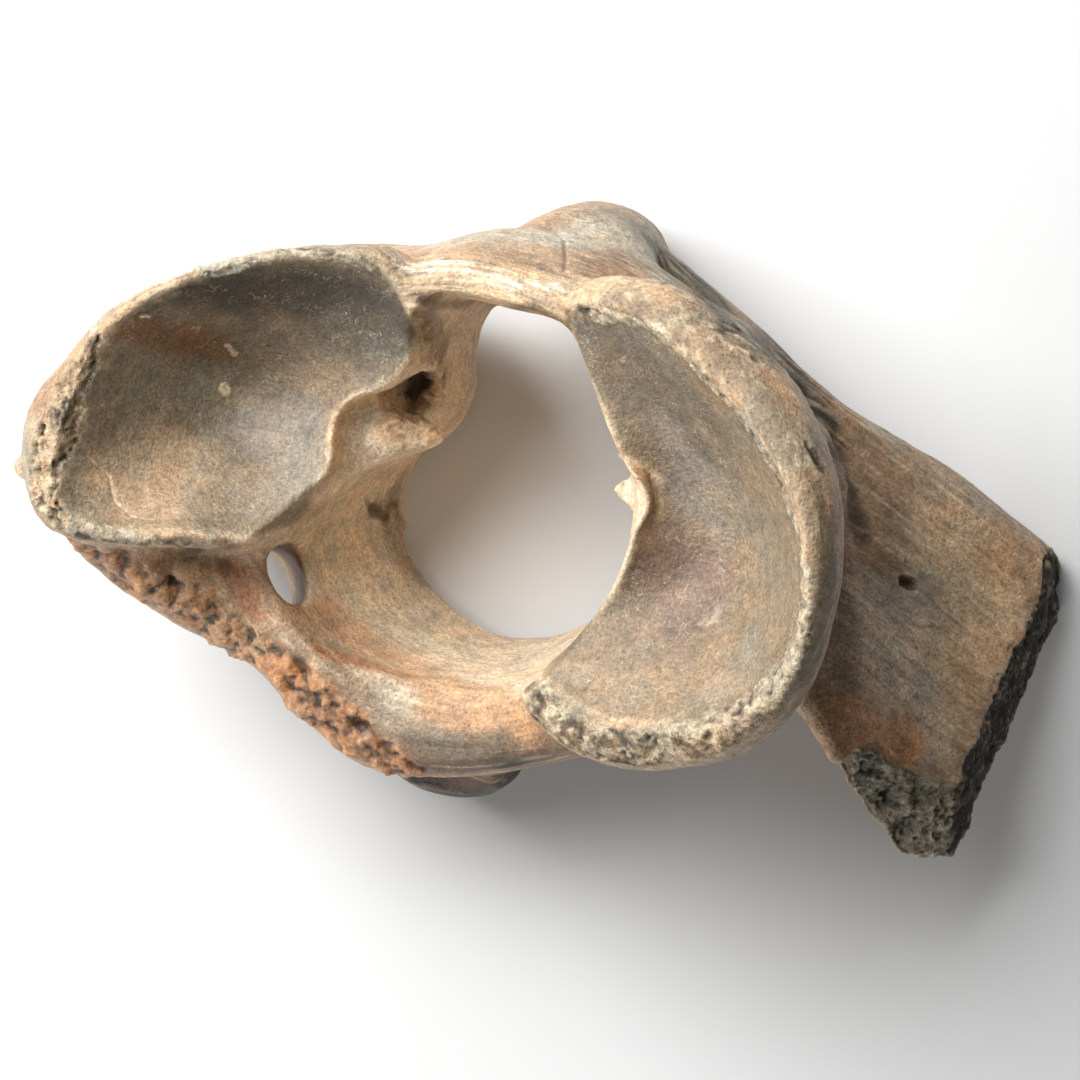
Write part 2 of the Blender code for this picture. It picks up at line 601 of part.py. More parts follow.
def build():
    clear_scene()
    part = new_collection("atlas")
    pieces = new_collection("bone_pieces", helper=True)
    made = masses(pieces)
    bone = new_object(NODE_NAME, made[0].data.copy(), part)
    bpy.data.objects.remove(made[0])
    boolean(bone, "UNION", pieces, solver="MANIFOLD")
    remove_collection(pieces)
    blend_creases(bone, BLEND_VOXEL, BLEND_PASSES)

    hollows = new_collection("hollows", helper=True)
    canal_cutter(hollows)
    sweep("nerve_hole", NERVE_HOLE, hollows)
    for name, (centre, radii, turn) in HOLLOWS.items():
        ball(name, centre, radii, hollows, turn)
    boolean(bone, "DIFFERENCE", hollows, solver="MANIFOLD")
    remove_collection(hollows)

    spurs = new_collection("spurs", helper=True)
    sweep("left_spur", LEFT_SPUR, spurs)
    sweep("right_spur", RIGHT_SPUR, spurs)
    boolean(bone, "UNION", spurs, solver="MANIFOLD")
    remove_collection(spurs)
    blend_creases(bone, BLEND_VOXEL, EDGE_PASSES)

    cups = new_collection("cups", helper=True)
    cup_cutter("right_cup", RIGHT_RIM, RIGHT_CUP_FLOOR, cups)
    cup_cutter("left_cup", LEFT_RIM, LEFT_CUP_FLOOR, cups)
    boolean(bone, "DIFFERENCE", cups, solver="MANIFOLD")
    remove_collection(cups)
    keep_largest_shell(bone)

    bone.data.transform(rest_matrix())
    breaks = new_collection("breaks", helper=True)
    for number, (point, facing, breadth) in enumerate(WING_BREAKS):
        slab(f"break_{number}", point, facing, breadth, breaks)
    centre, radii, turn = LEFT_FACET
    ball("left_facet", centre, radii, breaks, turn)
    boolean(bone, "DIFFERENCE", breaks, solver="MANIFOLD")
    remove_collection(breaks)
    blend_creases(bone, CRISP_VOXEL, 0)
    thin_out(bone, TRIANGLE_BUDGET)
    floor = new_collection("floor", helper=True)
    grind_flats(bone, floor)
    remove_collection(floor)
    keep_largest_shell(bone)

    points = np.array([v.co for v in bone.data.vertices])
    middle = (points.min(0) + points.max(0)) / 2
    bone.data.transform(Matrix.Translation((-middle[0], -middle[1], 0.0)))
    bone.data.materials.clear()
    bone.data.materials.append(bone_material())
    bone.data.shade_smooth()
    return bone


build()
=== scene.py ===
# %% [markdown]
# A fossil neck bone in Blender
#
# This is the atlas, the first neck bone, of a woolly rhinoceros: two deep cups that held the skull, a
# wide canal for the spinal cord between them, and one wing, broken off short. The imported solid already
# has the right size and main shapes, so this lesson keeps them and adds what makes it a fossil: crumbled
# edges, rough knobs where muscles held on, grain, pits, cracks, and the stains of a long time in wet
# ground.

# %% Load the measured solid
import math

import bmesh
import bpy
import numpy as np
from mathutils import Matrix, Vector
from mathutils.bvhtree import BVHTree
from mathutils.kdtree import KDTree


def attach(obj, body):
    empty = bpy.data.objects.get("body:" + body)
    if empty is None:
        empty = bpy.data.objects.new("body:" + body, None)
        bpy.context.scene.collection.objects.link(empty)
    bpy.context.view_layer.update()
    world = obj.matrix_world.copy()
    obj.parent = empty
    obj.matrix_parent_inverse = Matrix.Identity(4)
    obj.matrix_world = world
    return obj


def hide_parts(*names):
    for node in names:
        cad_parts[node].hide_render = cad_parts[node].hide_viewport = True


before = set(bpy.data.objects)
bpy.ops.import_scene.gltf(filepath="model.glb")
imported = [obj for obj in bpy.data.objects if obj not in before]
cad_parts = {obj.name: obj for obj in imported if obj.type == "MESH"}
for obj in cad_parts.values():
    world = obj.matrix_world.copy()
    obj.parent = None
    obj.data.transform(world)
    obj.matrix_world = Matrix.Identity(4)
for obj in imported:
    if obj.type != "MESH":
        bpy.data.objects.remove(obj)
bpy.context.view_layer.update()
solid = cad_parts["atlas_vertebra"]
MM = 0.001
print("solid:", len(solid.data.polygons), "faces")

# %% [markdown]
# Two sets of directions
#
# A bone has its own directions: right and left, throat and nape, skull and tail. Grain and muscle scars
# follow those, while the floor and the camera follow the room. The bone lies tipped over, so one matrix
# takes a place on the bone to a place in the room, and its inverse gives every point of the surface its
# own address on the bone.

# %% The bone's own directions
REST_TURN = math.radians(-16.0)
REST_LEAN = math.radians(14.0)
REST_NOD = math.radians(12.0)
BONE_ORIGIN = (-0.01865, 0.01209, 0.06960)

bone_to_room = (
    Matrix.Translation(BONE_ORIGIN)
    @ Matrix.Rotation(REST_TURN, 4, "Z")
    @ Matrix.Rotation(-REST_LEAN, 4, "Y")
    @ Matrix.Rotation(REST_NOD, 4, "X")
)
room_to_bone = np.array(bone_to_room.inverted())


def bone_address(points):
    """Room points in the bone's own directions: +X to its right, +Y to the throat, +Z to the skull."""
    return points @ room_to_bone[:3, :3].T + room_to_bone[:3, 3]


print("the skull side points to", [round(v, 3) for v in bone_to_room.to_3x3() @ Vector((0, 0, 1))])

# %% [markdown]
# The camera looks straight down
#
# The bone was photographed from above. A long lens 0.9 m up gives the same mild perspective. The camera
# is made before anything else, because marks that were seen in the photograph are later put on the bone
# by looking along the camera's rays.

# %% Camera
CAMERA_PLACE = Vector((-0.00435, -0.00261, 0.90))
METRES_PER_PIXEL = 0.000218
FRAME_PIXELS = 1080

camera_data = bpy.data.cameras.new("camera_above")
camera_data.sensor_width = 36.0
camera_data.lens = 36.0 * CAMERA_PLACE.z / (FRAME_PIXELS * METRES_PER_PIXEL)
camera_data.clip_start = 0.05
camera_data.clip_end = 20.0
camera = bpy.data.objects.new("camera_above", camera_data)
camera.location = CAMERA_PLACE
bpy.context.scene.collection.objects.link(camera)
bpy.context.scene.camera = camera
print(f"lens {camera_data.lens:.1f} mm at {CAMERA_PLACE.z} m")

# %% [markdown]
# A fine skin to carve
#
# The solid has about ten thousand flat triangles. Carving needs far more, evenly spread. A voxel remesh
# lays an even grid of small faces over the shape, and a few smoothing passes take the old facets out of
# it. Sculpting by code is then a matter of moving each point of that grid along its normal.

# %% Fine even skin over the solid
SKIN_GRID = 0.50 * MM
SKIN_SMOOTHING = 14


def finished_mesh(obj):
    """The object's mesh with its modifiers applied."""
    graph = bpy.context.evaluated_depsgraph_get()
    return bpy.data.meshes.new_from_object(obj.evaluated_get(graph))


def fine_skin(source):
    carved = bpy.data.objects.new("fine_skin", source.data.copy())
    bpy.context.scene.collection.objects.link(carved)
    grid = carved.modifiers.new("even grid", "REMESH")
    grid.mode = "VOXEL"
    grid.voxel_size = SKIN_GRID
    ease = carved.modifiers.new("take out facets", "SMOOTH")
    ease.factor = 0.5
    ease.iterations = SKIN_SMOOTHING
    mesh = finished_mesh(carved)
    bpy.data.objects.remove(carved)
    return mesh


skin = fine_skin(solid)
print("fine skin:", len(skin.vertices), "points")


# %% Points, normals and links of a mesh
def rows(items, field, width, kind):
    """One row of numbers for each item of a mesh."""
    flat = np.empty(len(items) * width, kind)
    items.foreach_get(field, flat)
    return flat.reshape(-1, width)


def points_of(mesh):
    return rows(mesh.vertices, "co", 3, np.float32).astype(np.float64)


def normals_of(mesh):
    return rows(mesh.vertex_normals, "vector", 3, np.float32).astype(np.float64)


def placed(mesh, points):
    """Moves the points of a mesh and gives its new normals."""
    mesh.vertices.foreach_set("co", points.astype(np.float32).ravel())
    mesh.update()
    return normals_of(mesh)


place = points_of(skin)
facing = normals_of(skin)
links = rows(skin.edges, "vertices", 2, np.int32).T
address = bone_address(place)
faces_on_bone = facing @ room_to_bone[:3, :3].T
POINTS = len(place)
print("highest point", round(place[:, 2].max(), 4), "m")

# %% [markdown]
# Noise to carve with
#
# Nothing on a bone repeats, so most of the carving is steered by noise. Blender's noise textures live in
# shaders, where code can't read them. The two kinds needed here are short to write for whole arrays of
# points at once: rolling hills, which are good for unevenness and grain, and cells, which are good for
# knobs and pores.


# %% Noise for whole arrays of points
AXIS_PRIMES = (374761393, 668265263, 2246822519)
SEED_PRIME = 974711
STIRRING = ((15, 2246822519), (13, 3266489917), (16, 668265263))
LARGEST_NUMBER = 4294967295.0


def scrambled(cell, seed):
    """A repeatable number from 0 to 1 for each whole-number cell."""
    number = np.uint32(seed * SEED_PRIME)
    for axis, prime in enumerate(AXIS_PRIMES):
        number = number + cell[..., axis].astype(np.uint32) * np.uint32(prime)
    for shift, prime in STIRRING:
        number = (number ^ (number >> np.uint32(shift))) * np.uint32(prime)
    return (number ^ (number >> np.uint32(16))) / LARGEST_NUMBER


def hills(points, size, seed=0):
    """Smooth noise from about -1 to 1, its hills and hollows about a size across."""
    scaled = points / size
    cell = np.floor(scaled)
    inside = scaled - cell
    cell = cell.astype(np.int64)
    fade = inside**3 * (inside * (inside * 6 - 15) + 10)
    total = np.zeros(len(points))
    for corner in np.ndindex(2, 2, 2):
        at = cell + np.array(corner)
        share = np.prod(np.where(corner, fade, 1 - fade), axis=1)
        for axis in range(3):
            slope = scrambled(at, seed + 101 * axis) * 2 - 1
            total += share * slope * (inside[:, axis] - corner[axis])
    return total * 1.6


def rolling(points, size, layers=3, seed=0):
    """Hills with smaller hills on them."""
    total, share = np.zeros(len(points)), 1.0
    for layer in range(layers):
        total += share * hills(points, size / 2**layer, seed + 17 * layer)
        share *= 0.5
    return total


def cells(points, size, seed=0):
    """Distance to the nearest of points scattered about a size apart, in sizes: low at each middle."""
    scaled = points / size
    home = np.floor(scaled).astype(np.int64)
    closest = np.full(len(points), 9.0)
    for step in np.ndindex(3, 3, 3):
        at = home + np.array(step) - 1
        gap = np.zeros(len(points))
        for axis in range(3):
            gap += (at[:, axis] + scrambled(at, seed + 53 * axis) - scaled[:, axis]) ** 2
        closest = np.minimum(closest, gap)
    return np.sqrt(closest)


def pushed(points, size, amount, seed=0):
    """The points, each moved a little by noise, so that a pattern laid on them loses its straight lines."""
    return points + amount * np.stack([hills(points, size, seed + axis) for axis in range(3)], axis=1)


def ramp(values, low, high):
    """0 below low, 1 above high, and smooth between."""
    share = np.clip((values - low) / (high - low), 0, 1)
    return share * share * (3 - 2 * share)


print("noise check:", hills(place[:4], 0.01).round(3))

# %% [markdown]
# Brush strokes on a surface
#
# A mark on the bone is described as a brush stroke: a few places seen in the photograph and how broad the
# brush was at each. A ray from the camera through each place finds the surface there, and the stroke then
# lives in the room, on the bone, not in the picture. A noisy edge keeps strokes from looking like tubes.

# %% Brush strokes
solid_points = [tuple(point) for point in points_of(solid.data)]
solid_faces = [tuple(face.vertices) for face in solid.data.polygons]
surface = BVHTree.FromPolygons(solid_points, solid_faces)

# Shares of a ray's way to the floor. A ray that misses the bone is searched there for the nearest bone.
PAST_THE_BONE = np.linspace(0.86, 1.0, 60)


def spot(across, down):
    """The place on the bone that the camera sees at a pixel of its frame, or the nearest place to it."""
    half = FRAME_PIXELS / 2
    ray = Vector(((across - half) * METRES_PER_PIXEL, (half - down) * METRES_PER_PIXEL, -CAMERA_PLACE.z))
    hit = surface.ray_cast(CAMERA_PLACE, ray.normalized())[0]
    if hit is None:
        steps = [CAMERA_PLACE + ray * share for share in PAST_THE_BONE]
        hit = min((surface.find_nearest(step) for step in steps), key=lambda found: found[3])[0]
    return np.array(hit)


def stroke(marks, edge=0.0, edge_size=4 * MM, seed=0):
    """How far inside a stroke each point of the skin is, in metres: below 0 outside it.

    A mark is (pixels across, pixels down, half breadth in mm)."""
    stops = np.array([np.append(spot(across, down), breadth * MM) for across, down, breadth in marks])
    reach = stops[:, 3].max() * 1.5 + edge + 2 * MM
    low, high = stops[:, :3].min(0) - reach, stops[:, :3].max(0) + reach
    near = np.flatnonzero(((place > low) & (place < high)).all(1))
    found = np.full(POINTS, -1.0)
    best = np.full(len(near), -1.0)
    for start, end in zip(stops, stops[1:]):
        way = end[:3] - start[:3]
        along = np.clip((place[near] - start[:3]) @ way / max(way @ way, 1e-12), 0, 1)
        gap = np.linalg.norm(place[near] - start[:3] - along[:, None] * way, axis=1)
        best = np.maximum(best, start[3] + (end[3] - start[3]) * along - gap)
    if edge:
        best += edge * rolling(place[near], edge_size, 3, seed)
    found[near] = best
    return found


def strokes(several, *edge):
    """The same for several strokes at once."""
    return np.max([stroke(marks, *edge) for marks in several], axis=0)


print("a place in the right cup:", spot(700, 580).round(4))

# %% [markdown]
# Where each kind of surface is
#
# The cups are smooth, because they were joints. Their edges are given once, as the bone's own
# coordinates, and tell inside from outside.

# %% Edges of the two cups
RIGHT_CUP_EDGE = [
    (0.016, 0.0385, 0.006), (0.031, 0.0395, 0.012), (0.046, 0.0345, 0.019), (0.0595, 0.028, 0.024),
    (0.0705, 0.018, 0.028), (0.077, 0.0065, 0.03), (0.079, -0.005, 0.029), (0.077, -0.0185, 0.025),
    (0.069, -0.029, 0.02), (0.056, -0.0355, 0.015), (0.041, -0.0395, 0.01), (0.029, -0.038, 0.005),
    (0.0195, -0.034, 0.001), (0.028, -0.027, -0.001), (0.034, -0.017, -0.002), (0.036, -0.0065, -0.002),
    (0.0387, 0.0013, -0.003), (0.036, 0.008, -0.003), (0.0295, 0.01, -0.002), (0.026, 0.0157, -0.001),
    (0.02, 0.0237, 0.001), (0.0157, 0.031, 0.003),
]
LEFT_CUP_EDGE = [
    (-0.026, 0.0365, 0.008), (-0.034, 0.036, 0.012), (-0.0447, 0.033, 0.017), (-0.0556, 0.0277, 0.022),
    (-0.065, 0.02, 0.026), (-0.072, 0.011, 0.028), (-0.074, 0.002, 0.029), (-0.0757, -0.0094, 0.03),
    (-0.0744, -0.0227, 0.029), (-0.07, -0.027, 0.027), (-0.061, -0.0276, 0.024), (-0.0504, -0.0254, 0.019),
    (-0.04, -0.0245, 0.012), (-0.033, -0.0217, 0.006), (-0.0305, -0.014, 0.003), (-0.029, -0.0065, 0.000),
    (-0.031, 0.0013, -0.001), (-0.028, 0.007, -0.002), (-0.0215, 0.011, -0.002), (-0.0176, 0.0176, -0.001),
    (-0.017, 0.024, 0.001), (-0.021, 0.0317, 0.004),
]
CUP_FLOOR_LEVEL = -12.5 * MM


def rounded_loop(points):
    """Closed Catmull-Rom curve through the points, in eight steps from each to the next."""
    p = np.array(points)
    before, after, beyond = np.roll(p, 1, 0), np.roll(p, -1, 0), np.roll(p, -2, 0)
    t = np.linspace(0, 1, 8, endpoint=False)[None, :, None]
    a, b, c, d = (q[:, None, :] for q in (before, p, after, beyond))
    curve = 0.5 * (2 * b + (c - a) * t + (2 * a - 5 * b + 4 * c - d) * t**2 + (3 * b - a - 3 * c + d) * t**3)
    return curve.reshape(-1, 3)


def loop_distance(loop, points):
    """Distance in plan from each point to a closed loop, above 0 inside it."""
    best = np.full(len(points), 9.0)
    inside = np.zeros(len(points), bool)
    for start, end in zip(loop, np.roll(loop, -1, 0)):
        way = (end - start)[:2]
        off = points[:, :2] - start[:2]
        along = np.clip(off @ way / (way @ way), 0, 1)
        best = np.minimum(best, np.linalg.norm(off - along[:, None] * way, axis=1))
        crosses = (start[1] > points[:, 1]) != (end[1] > points[:, 1])
        inside ^= crosses & (off[:, 0] < way[0] * off[:, 1] / (way[1] if way[1] else 1e-12))
    return np.where(inside, best, -best)


def cup_depth(edge):
    """How far inside a cup's edge each point of the cup's own surface is, in metres."""
    depth = loop_distance(rounded_loop(edge), address)
    return np.where((address[:, 2] > CUP_FLOOR_LEVEL) & (faces_on_bone[:, 2] > 0.05), depth, -1.0)


cup_inside = np.maximum(cup_depth(RIGHT_CUP_EDGE), cup_depth(LEFT_CUP_EDGE))
print("points inside the cups:", int((cup_inside > 0).sum()))

# %% [markdown]
# Crumbled edges
#
# The lips of the cups are thin, so they wear first: the hard outer bone has flaked off, and the porous
# bone under it shows as a pale, granular band. On the outer side of the left cup a wide strip has broken
# away. Both are strokes along the lips, narrow where the lip survived and wide where it didn't.

# %% Crumbled lips and the broken strip
CRUMBLED = [
    [
        (92, 335, 1.2), (108, 313, 1.5), (132, 295, 1.7), (158, 280, 1.8), (190, 268, 2.0),
        (215, 264, 2.2), (236, 264, 2.4), (252, 261, 2.3), (268, 254, 1.9), (292, 250, 1.9),
        (322, 252, 2.0), (347, 258, 2.0), (372, 267, 1.3),
    ],
    [
        (40, 505, 2.4), (58, 520, 2.2), (80, 533, 2.2), (105, 537, 2.2), (130, 540, 1.9),
        (160, 543, 1.8), (190, 546, 1.2),
    ],
    [
        (577, 306, 1.2), (590, 311, 1.8), (603, 316, 1.5), (622, 319, 1.1), (642, 324, 1.2),
        (661, 333, 1.5), (681, 350, 1.5), (700, 372, 1.5), (719, 392, 1.5), (738, 412, 1.6),
        (753, 432, 1.8), (767, 455, 1.9), (779, 480, 1.7), (789, 505, 1.7), (798, 530, 1.8),
        (804, 556, 1.9), (806, 585, 2.1), (803, 612, 2.4), (797, 640, 2.6), (786, 665, 3.0),
        (769, 690, 3.6), (746, 712, 4.0), (718, 730, 4.4), (688, 743, 4.4), (655, 750, 4.4),
        (620, 750, 4.4), (590, 743, 4.8), (562, 730, 5.2), (541, 709, 5.2), (529, 695, 4.0),
    ],
]
BROKEN_STRIP = [
    (95, 345, 1.6), (88, 362, 2.4), (78, 385, 3.2), (70, 408, 4.2), (62, 432, 4.8), (50, 455, 4.4),
    (42, 478, 3.8), (42, 500, 2.6), (60, 516, 1.6),
]

crumble = strokes(CRUMBLED, 0.9 * MM, 3.5 * MM, 3)
strip = stroke(BROKEN_STRIP, 1.6 * MM, 5 * MM, 4)
print("crumbled", int((crumble > 0).sum()), "broken strip", int((strip > 0).sum()))

# %% [markdown]
# Muscle knobs and broken faces
#
# Neck muscles were fixed along the nape side of the bone, which is why it is lumpy there. The wing
# snapped along four planes, and its broken faces are spongy. A point belongs to a broken face when it
# lies on one of the planes and faces the same way.

# %% Knobbly band, broken faces and the canal
KNOBBLY = [
    (60, 535, 3.0), (90, 555, 4.0), (125, 577, 5.0), (160, 597, 6.0), (200, 620, 6.5), (235, 643, 6.5),
    (265, 662, 6.5), (295, 688, 7.0), (325, 712, 7.0), (355, 738, 7.0), (388, 758, 6.0),
    (410, 772, 4.5),
]
WING_BREAKS = [
    ((0.1215, -0.0200, 0.020), (0.96, 0.00, 0.28)),
    ((0.1168, -0.0400, 0.020), (0.90, -0.27, 0.35)),
    ((0.1000, -0.0812, 0.030), (0.02, -0.99, 0.10)),
    ((0.0960, -0.0690, 0.040), (0.20, -0.50, 0.84)),
]
SLID_TO_PLACE = np.array((BONE_ORIGIN[0], BONE_ORIGIN[1], 0.0))
WING_STARTS = 35 * MM
CANAL_MIDDLE = np.array((-2.0, -8.5)) * MM
CANAL_REACH = 44 * MM


def broken_face(point, way):
    """Near 1 on the flat left by one break."""
    way = np.array(way) / np.linalg.norm(way)
    gap = np.abs((place - point - SLID_TO_PLACE) @ way)
    on_plane = ramp(-gap, -1.2 * MM, -0.5 * MM)
    same_way = ramp(facing @ way, 0.80, 0.95)
    return on_plane * same_way * ramp(place[:, 0], WING_STARTS, WING_STARTS + 10 * MM)


knobbly = stroke(KNOBBLY, 2.0 * MM, 8 * MM, 5)
broken = np.max([broken_face(*face) for face in WING_BREAKS], axis=0)
from_canal = address[:, :2] - CANAL_MIDDLE
radius = np.linalg.norm(from_canal, axis=1)
angle = np.arctan2(from_canal[:, 1], from_canal[:, 0])
faces_out = (faces_on_bone[:, :2] * from_canal).sum(1) / np.maximum(radius, 1e-6)
near_canal = ramp(-radius, -CANAL_REACH, -CANAL_REACH + 5 * MM)
canal_wall = ramp(-faces_out, 0.15, 0.5) * near_canal * (cup_inside < 0)
for name, mask in (("knobbly", knobbly > 0), ("broken", broken > 0.5), ("canal", canal_wall > 0.5)):
    print(name, int(mask.sum()), "points")

# %% [markdown]
# Grain
#
# Bone has a grain as wood has. Here it runs round the canal, and out along the wing. To carve it, each
# point gets a second address whose first number runs with the grain, and noise is stretched along that
# number. Where the two directions meet, and on the far left where the angle jumps, the grain fades out.

# %% Address along the grain
GRAIN_RADIUS = 38 * MM
WING_WAY = np.array((0.76, -0.60, -0.25)) / np.linalg.norm((0.76, -0.60, -0.25))
on_wing = ramp(place[:, 0] + 0.25 * place[:, 1], 47 * MM, 55 * MM) * (address[:, 2] < 4 * MM)
round_canal = np.stack([angle * GRAIN_RADIUS, radius, address[:, 2]], axis=1)
out_along = place @ WING_WAY
sideways = place - out_along[:, None] * WING_WAY
down_wing = np.stack([out_along, sideways[:, 0] + sideways[:, 1], sideways[:, 2]], axis=1)
grain_place = np.where((on_wing > 0.5)[:, None], down_wing, round_canal)
grain_clear = ramp(np.abs(on_wing - 0.5), 0.1, 0.4) * ramp(np.pi - np.abs(angle), 0.05, 0.2)


def grain(length, width, seed):
    """Noise drawn out along the grain: streaks so long and so wide."""
    return hills(grain_place * np.array((width / length, 1, 1)), width, seed)


print("on the wing:", int((on_wing > 0.5).sum()))

# %% [markdown]
# Carving, coarse first
#
# A sculptor roughs out big lumps before small ones, and the same order works in code: the coarse pass
# moves the skin by up to three or four millimetres, the normals are worked out again, and the fine pass
# cuts into that new shape. Every layer is a height for each point, in metres, and masks decide where it
# counts.

# %% Where each pattern counts
crust = ramp(crumble, -0.2 * MM, 0.4 * MM)
stripped = ramp(strip, -0.1 * MM, 0.3 * MM)
worn = np.maximum(crust, stripped)
knobs = ramp(knobbly, -1 * MM, 3 * MM) * (1 - worn)
joint = ramp(cup_inside, 0.0, 0.8 * MM) * (1 - worn)
plain = (1 - joint) * (1 - worn) * (1 - knobs) * (1 - broken)


def within(mask):
    """The points where a mask counts."""
    return np.flatnonzero(mask > 0.01)


print(f"plain bone covers {plain.mean():.0%} of the skin, the joint {joint.mean():.0%}")

# %% Valleys and swellings
# Each row is a height and a softness in mm, and the marks of a stroke.
VALLEYS = [
    (1.4, 3.0, [(806, 398, 1.5), (822, 425, 3.0), (834, 455, 2.5), (842, 490, 1.5)]),
    (0.7, 2.0, [(852, 500, 1.5), (858, 520, 2.0), (864, 545, 1.2)]),
    (0.9, 2.5, [(500, 318, 0.6), (470, 300, 1.5), (440, 296, 1.5)]),
    (1.2, 2.0, [(325, 702, 1.6), (332, 708, 1.4)]),
    (1.0, 2.0, [(350, 722, 1.5), (358, 726, 1.2)]),
    (0.8, 1.5, [(268, 640, 1.2), (276, 650, 1.0)]),
    (0.8, 1.5, [(240, 618, 1.0), (248, 632, 1.2)]),
    (0.9, 1.5, [(301, 664, 1.2), (306, 676, 1.0)]),
    (0.8, 1.5, [(170, 582, 1.2), (180, 590, 1.2)]),
    (0.5, 1.5, [(546, 226, 1.0), (563, 236, 0.8)]),
]
SWELLINGS = [
    (3.0, 1.4, [(426, 402, 1.3), (432, 398, 1.2)]),
    (1.8, 1.5, [(22, 464, 1.0), (19, 469, 0.8)]),
    (0.9, 2.5, [(150, 585, 2.0), (190, 607, 2.2)]),
    (1.0, 2.5, [(222, 632, 2.0), (252, 655, 1.6)]),
    (1.1, 2.5, [(285, 690, 1.8), (312, 716, 2.0)]),
    (0.9, 2.5, [(340, 742, 1.8), (380, 765, 2.0)]),
    (0.6, 3.0, [(230, 556, 2.5), (246, 598, 2.0)]),
]

height = 0.30 * MM * rolling(place, 16 * MM, 2, 11) * (1 - joint)
height += 0.10 * MM * rolling(place, 14 * MM, 2, 12) * joint
for deep, soft, marks in VALLEYS:
    height -= deep * MM * ramp(stroke(marks, 0.4 * MM, 3 * MM, 13), -soft * MM, 0.5 * soft * MM)
for high, soft, marks in SWELLINGS:
    height += high * MM * ramp(stroke(marks, 0.6 * MM, 4 * MM, 14), -soft * MM, 0.5 * soft * MM)
print(f"valleys and swellings from {height.min() / MM:.2f} to {height.max() / MM:.2f} mm")

# %% Lumps of the knobs, the lips and the break
some = within(knobs)
lumps = cells(pushed(place[some], 5 * MM, 1.8 * MM, 21), 6.8 * MM, 24)
height[some] += knobs[some] * (2.6 * MM * (0.55 - lumps) + 0.9 * MM * rolling(place[some], 8 * MM, 3, 25))
height += crust * 0.22 * MM - stripped * 0.75 * MM
some = within(stripped)
height[some] += stripped[some] * 0.8 * MM * rolling(place[some] * np.array((1, 0.6, 1)), 4.5 * MM, 2, 26)
some = within(crust)
height[some] += crust[some] * 0.45 * MM * rolling(place[some], 5 * MM, 2, 27)
height += broken * 1.1 * MM * rolling(place, 7 * MM, 3, 31)
height += plain * grain_clear * (0.16 + 0.20 * on_wing) * MM * grain(16 * MM, 2.4 * MM, 28)
print("points of the knobs:", len(within(knobs)))

# %% Gnarled bone round the spurs
GNARLED = [
    [(412, 296, 2.0), (424, 340, 3.5), (440, 385, 4.0), (400, 430, 4.0), (436, 438, 3.0)],
    [(612, 452, 1.5), (612, 482, 3.0), (626, 508, 2.0), (632, 536, 1.0)],
    [(396, 470, 2.0), (404, 520, 2.0), (418, 565, 1.5)],
]
gnarled = ramp(strokes(GNARLED, 0.5 * MM, 4 * MM, 29), -1 * MM, 1.5 * MM) * (1 - joint)
height += gnarled * 0.95 * MM * rolling(place, 4.0 * MM, 2, 30)

place = place + facing * height[:, None]
facing = placed(skin, place)
print(f"coarse carving from {height.min() / MM:.2f} to {height.max() / MM:.2f} mm")

# %% [markdown]
# Jagged edges of the break
#
# Moving points along their normals can't make a sharp corner jagged, because the normals there fan out.
# So near the broken faces each point is also shaken sideways by noise, most of all at the corner itself.

# %% Shake the broken edges
RINGS_SHAKEN = 5
RING_FADE = 0.85

near_break = broken
for _ in range(RINGS_SHAKEN):
    spread = near_break.copy()
    np.maximum.at(spread, links[0], near_break[links[1]])
    np.maximum.at(spread, links[1], near_break[links[0]])
    near_break = RING_FADE * spread
shaken = np.flatnonzero(near_break > 0.02)
still = place[shaken]
shake = pushed(still, 5.5 * MM, 1.5 * MM, 33) + pushed(still, 2.2 * MM, 0.5 * MM, 36) - 2 * still
place[shaken] += near_break[shaken, None] * shake
facing = placed(skin, place)
print("shaken points:", len(shaken))

# %% [markdown]
# Fine carving
#
# The second pass cuts what a finger would feel: small lumps on the knobs, grit and holes on the crumbled
# lips, the open cells of the broken faces, furrows along the grain, and the cracks that stand out in the
# photograph.

# %% Small lumps on the knobs
height = np.zeros(POINTS)
some = within(knobs)
lumps = cells(pushed(place[some], 3 * MM, 1.6 * MM, 40), 2.9 * MM, 41)
height[some] += knobs[some] * 0.35 * MM * (0.5 - lumps)
grit = 0.32 * MM * hills(place[some], 1.1 * MM, 42)
height[some] += knobs[some] * (grit + 0.50 * MM * rolling(place[some], 3 * MM, 2, 39))
print(f"small lumps up to {height.max() / MM:.2f} mm")

# %% Grit and holes of the crumbled and the spongy bone
some = within(worn)
lumps = cells(pushed(place[some], 2 * MM, 0.5 * MM, 43), 1.9 * MM, 44)
grit = 0.40 * MM * (0.5 - lumps) + 0.28 * MM * hills(place[some], 1.1 * MM, 45)
height[some] += worn[some] * grit
worn_pits = np.zeros(POINTS)
hole_noise = hills(place[some] * np.array((1, 0.7, 1)), 3.0 * MM, 46)
hole_noise += 0.6 * hills(place[some], 1.2 * MM, 47)
worn_pits[some] = worn[some] * ramp(hole_noise + 0.18 * stripped[some], 0.55, 0.95)
height -= 0.5 * MM * worn_pits

some = within(broken)
spongy_pits = np.zeros(POINTS)
spongy_pits[some] = broken[some] * ramp(-cells(place[some], 1.25 * MM, 48), -0.36, -0.12)
height -= 0.32 * MM * spongy_pits
height[some] += broken[some] * 0.38 * MM * hills(place[some], 1.1 * MM, 49)
print("holes:", int((worn_pits > 0.5).sum()), "points, open cells:", int((spongy_pits > 0.5).sum()), "points")

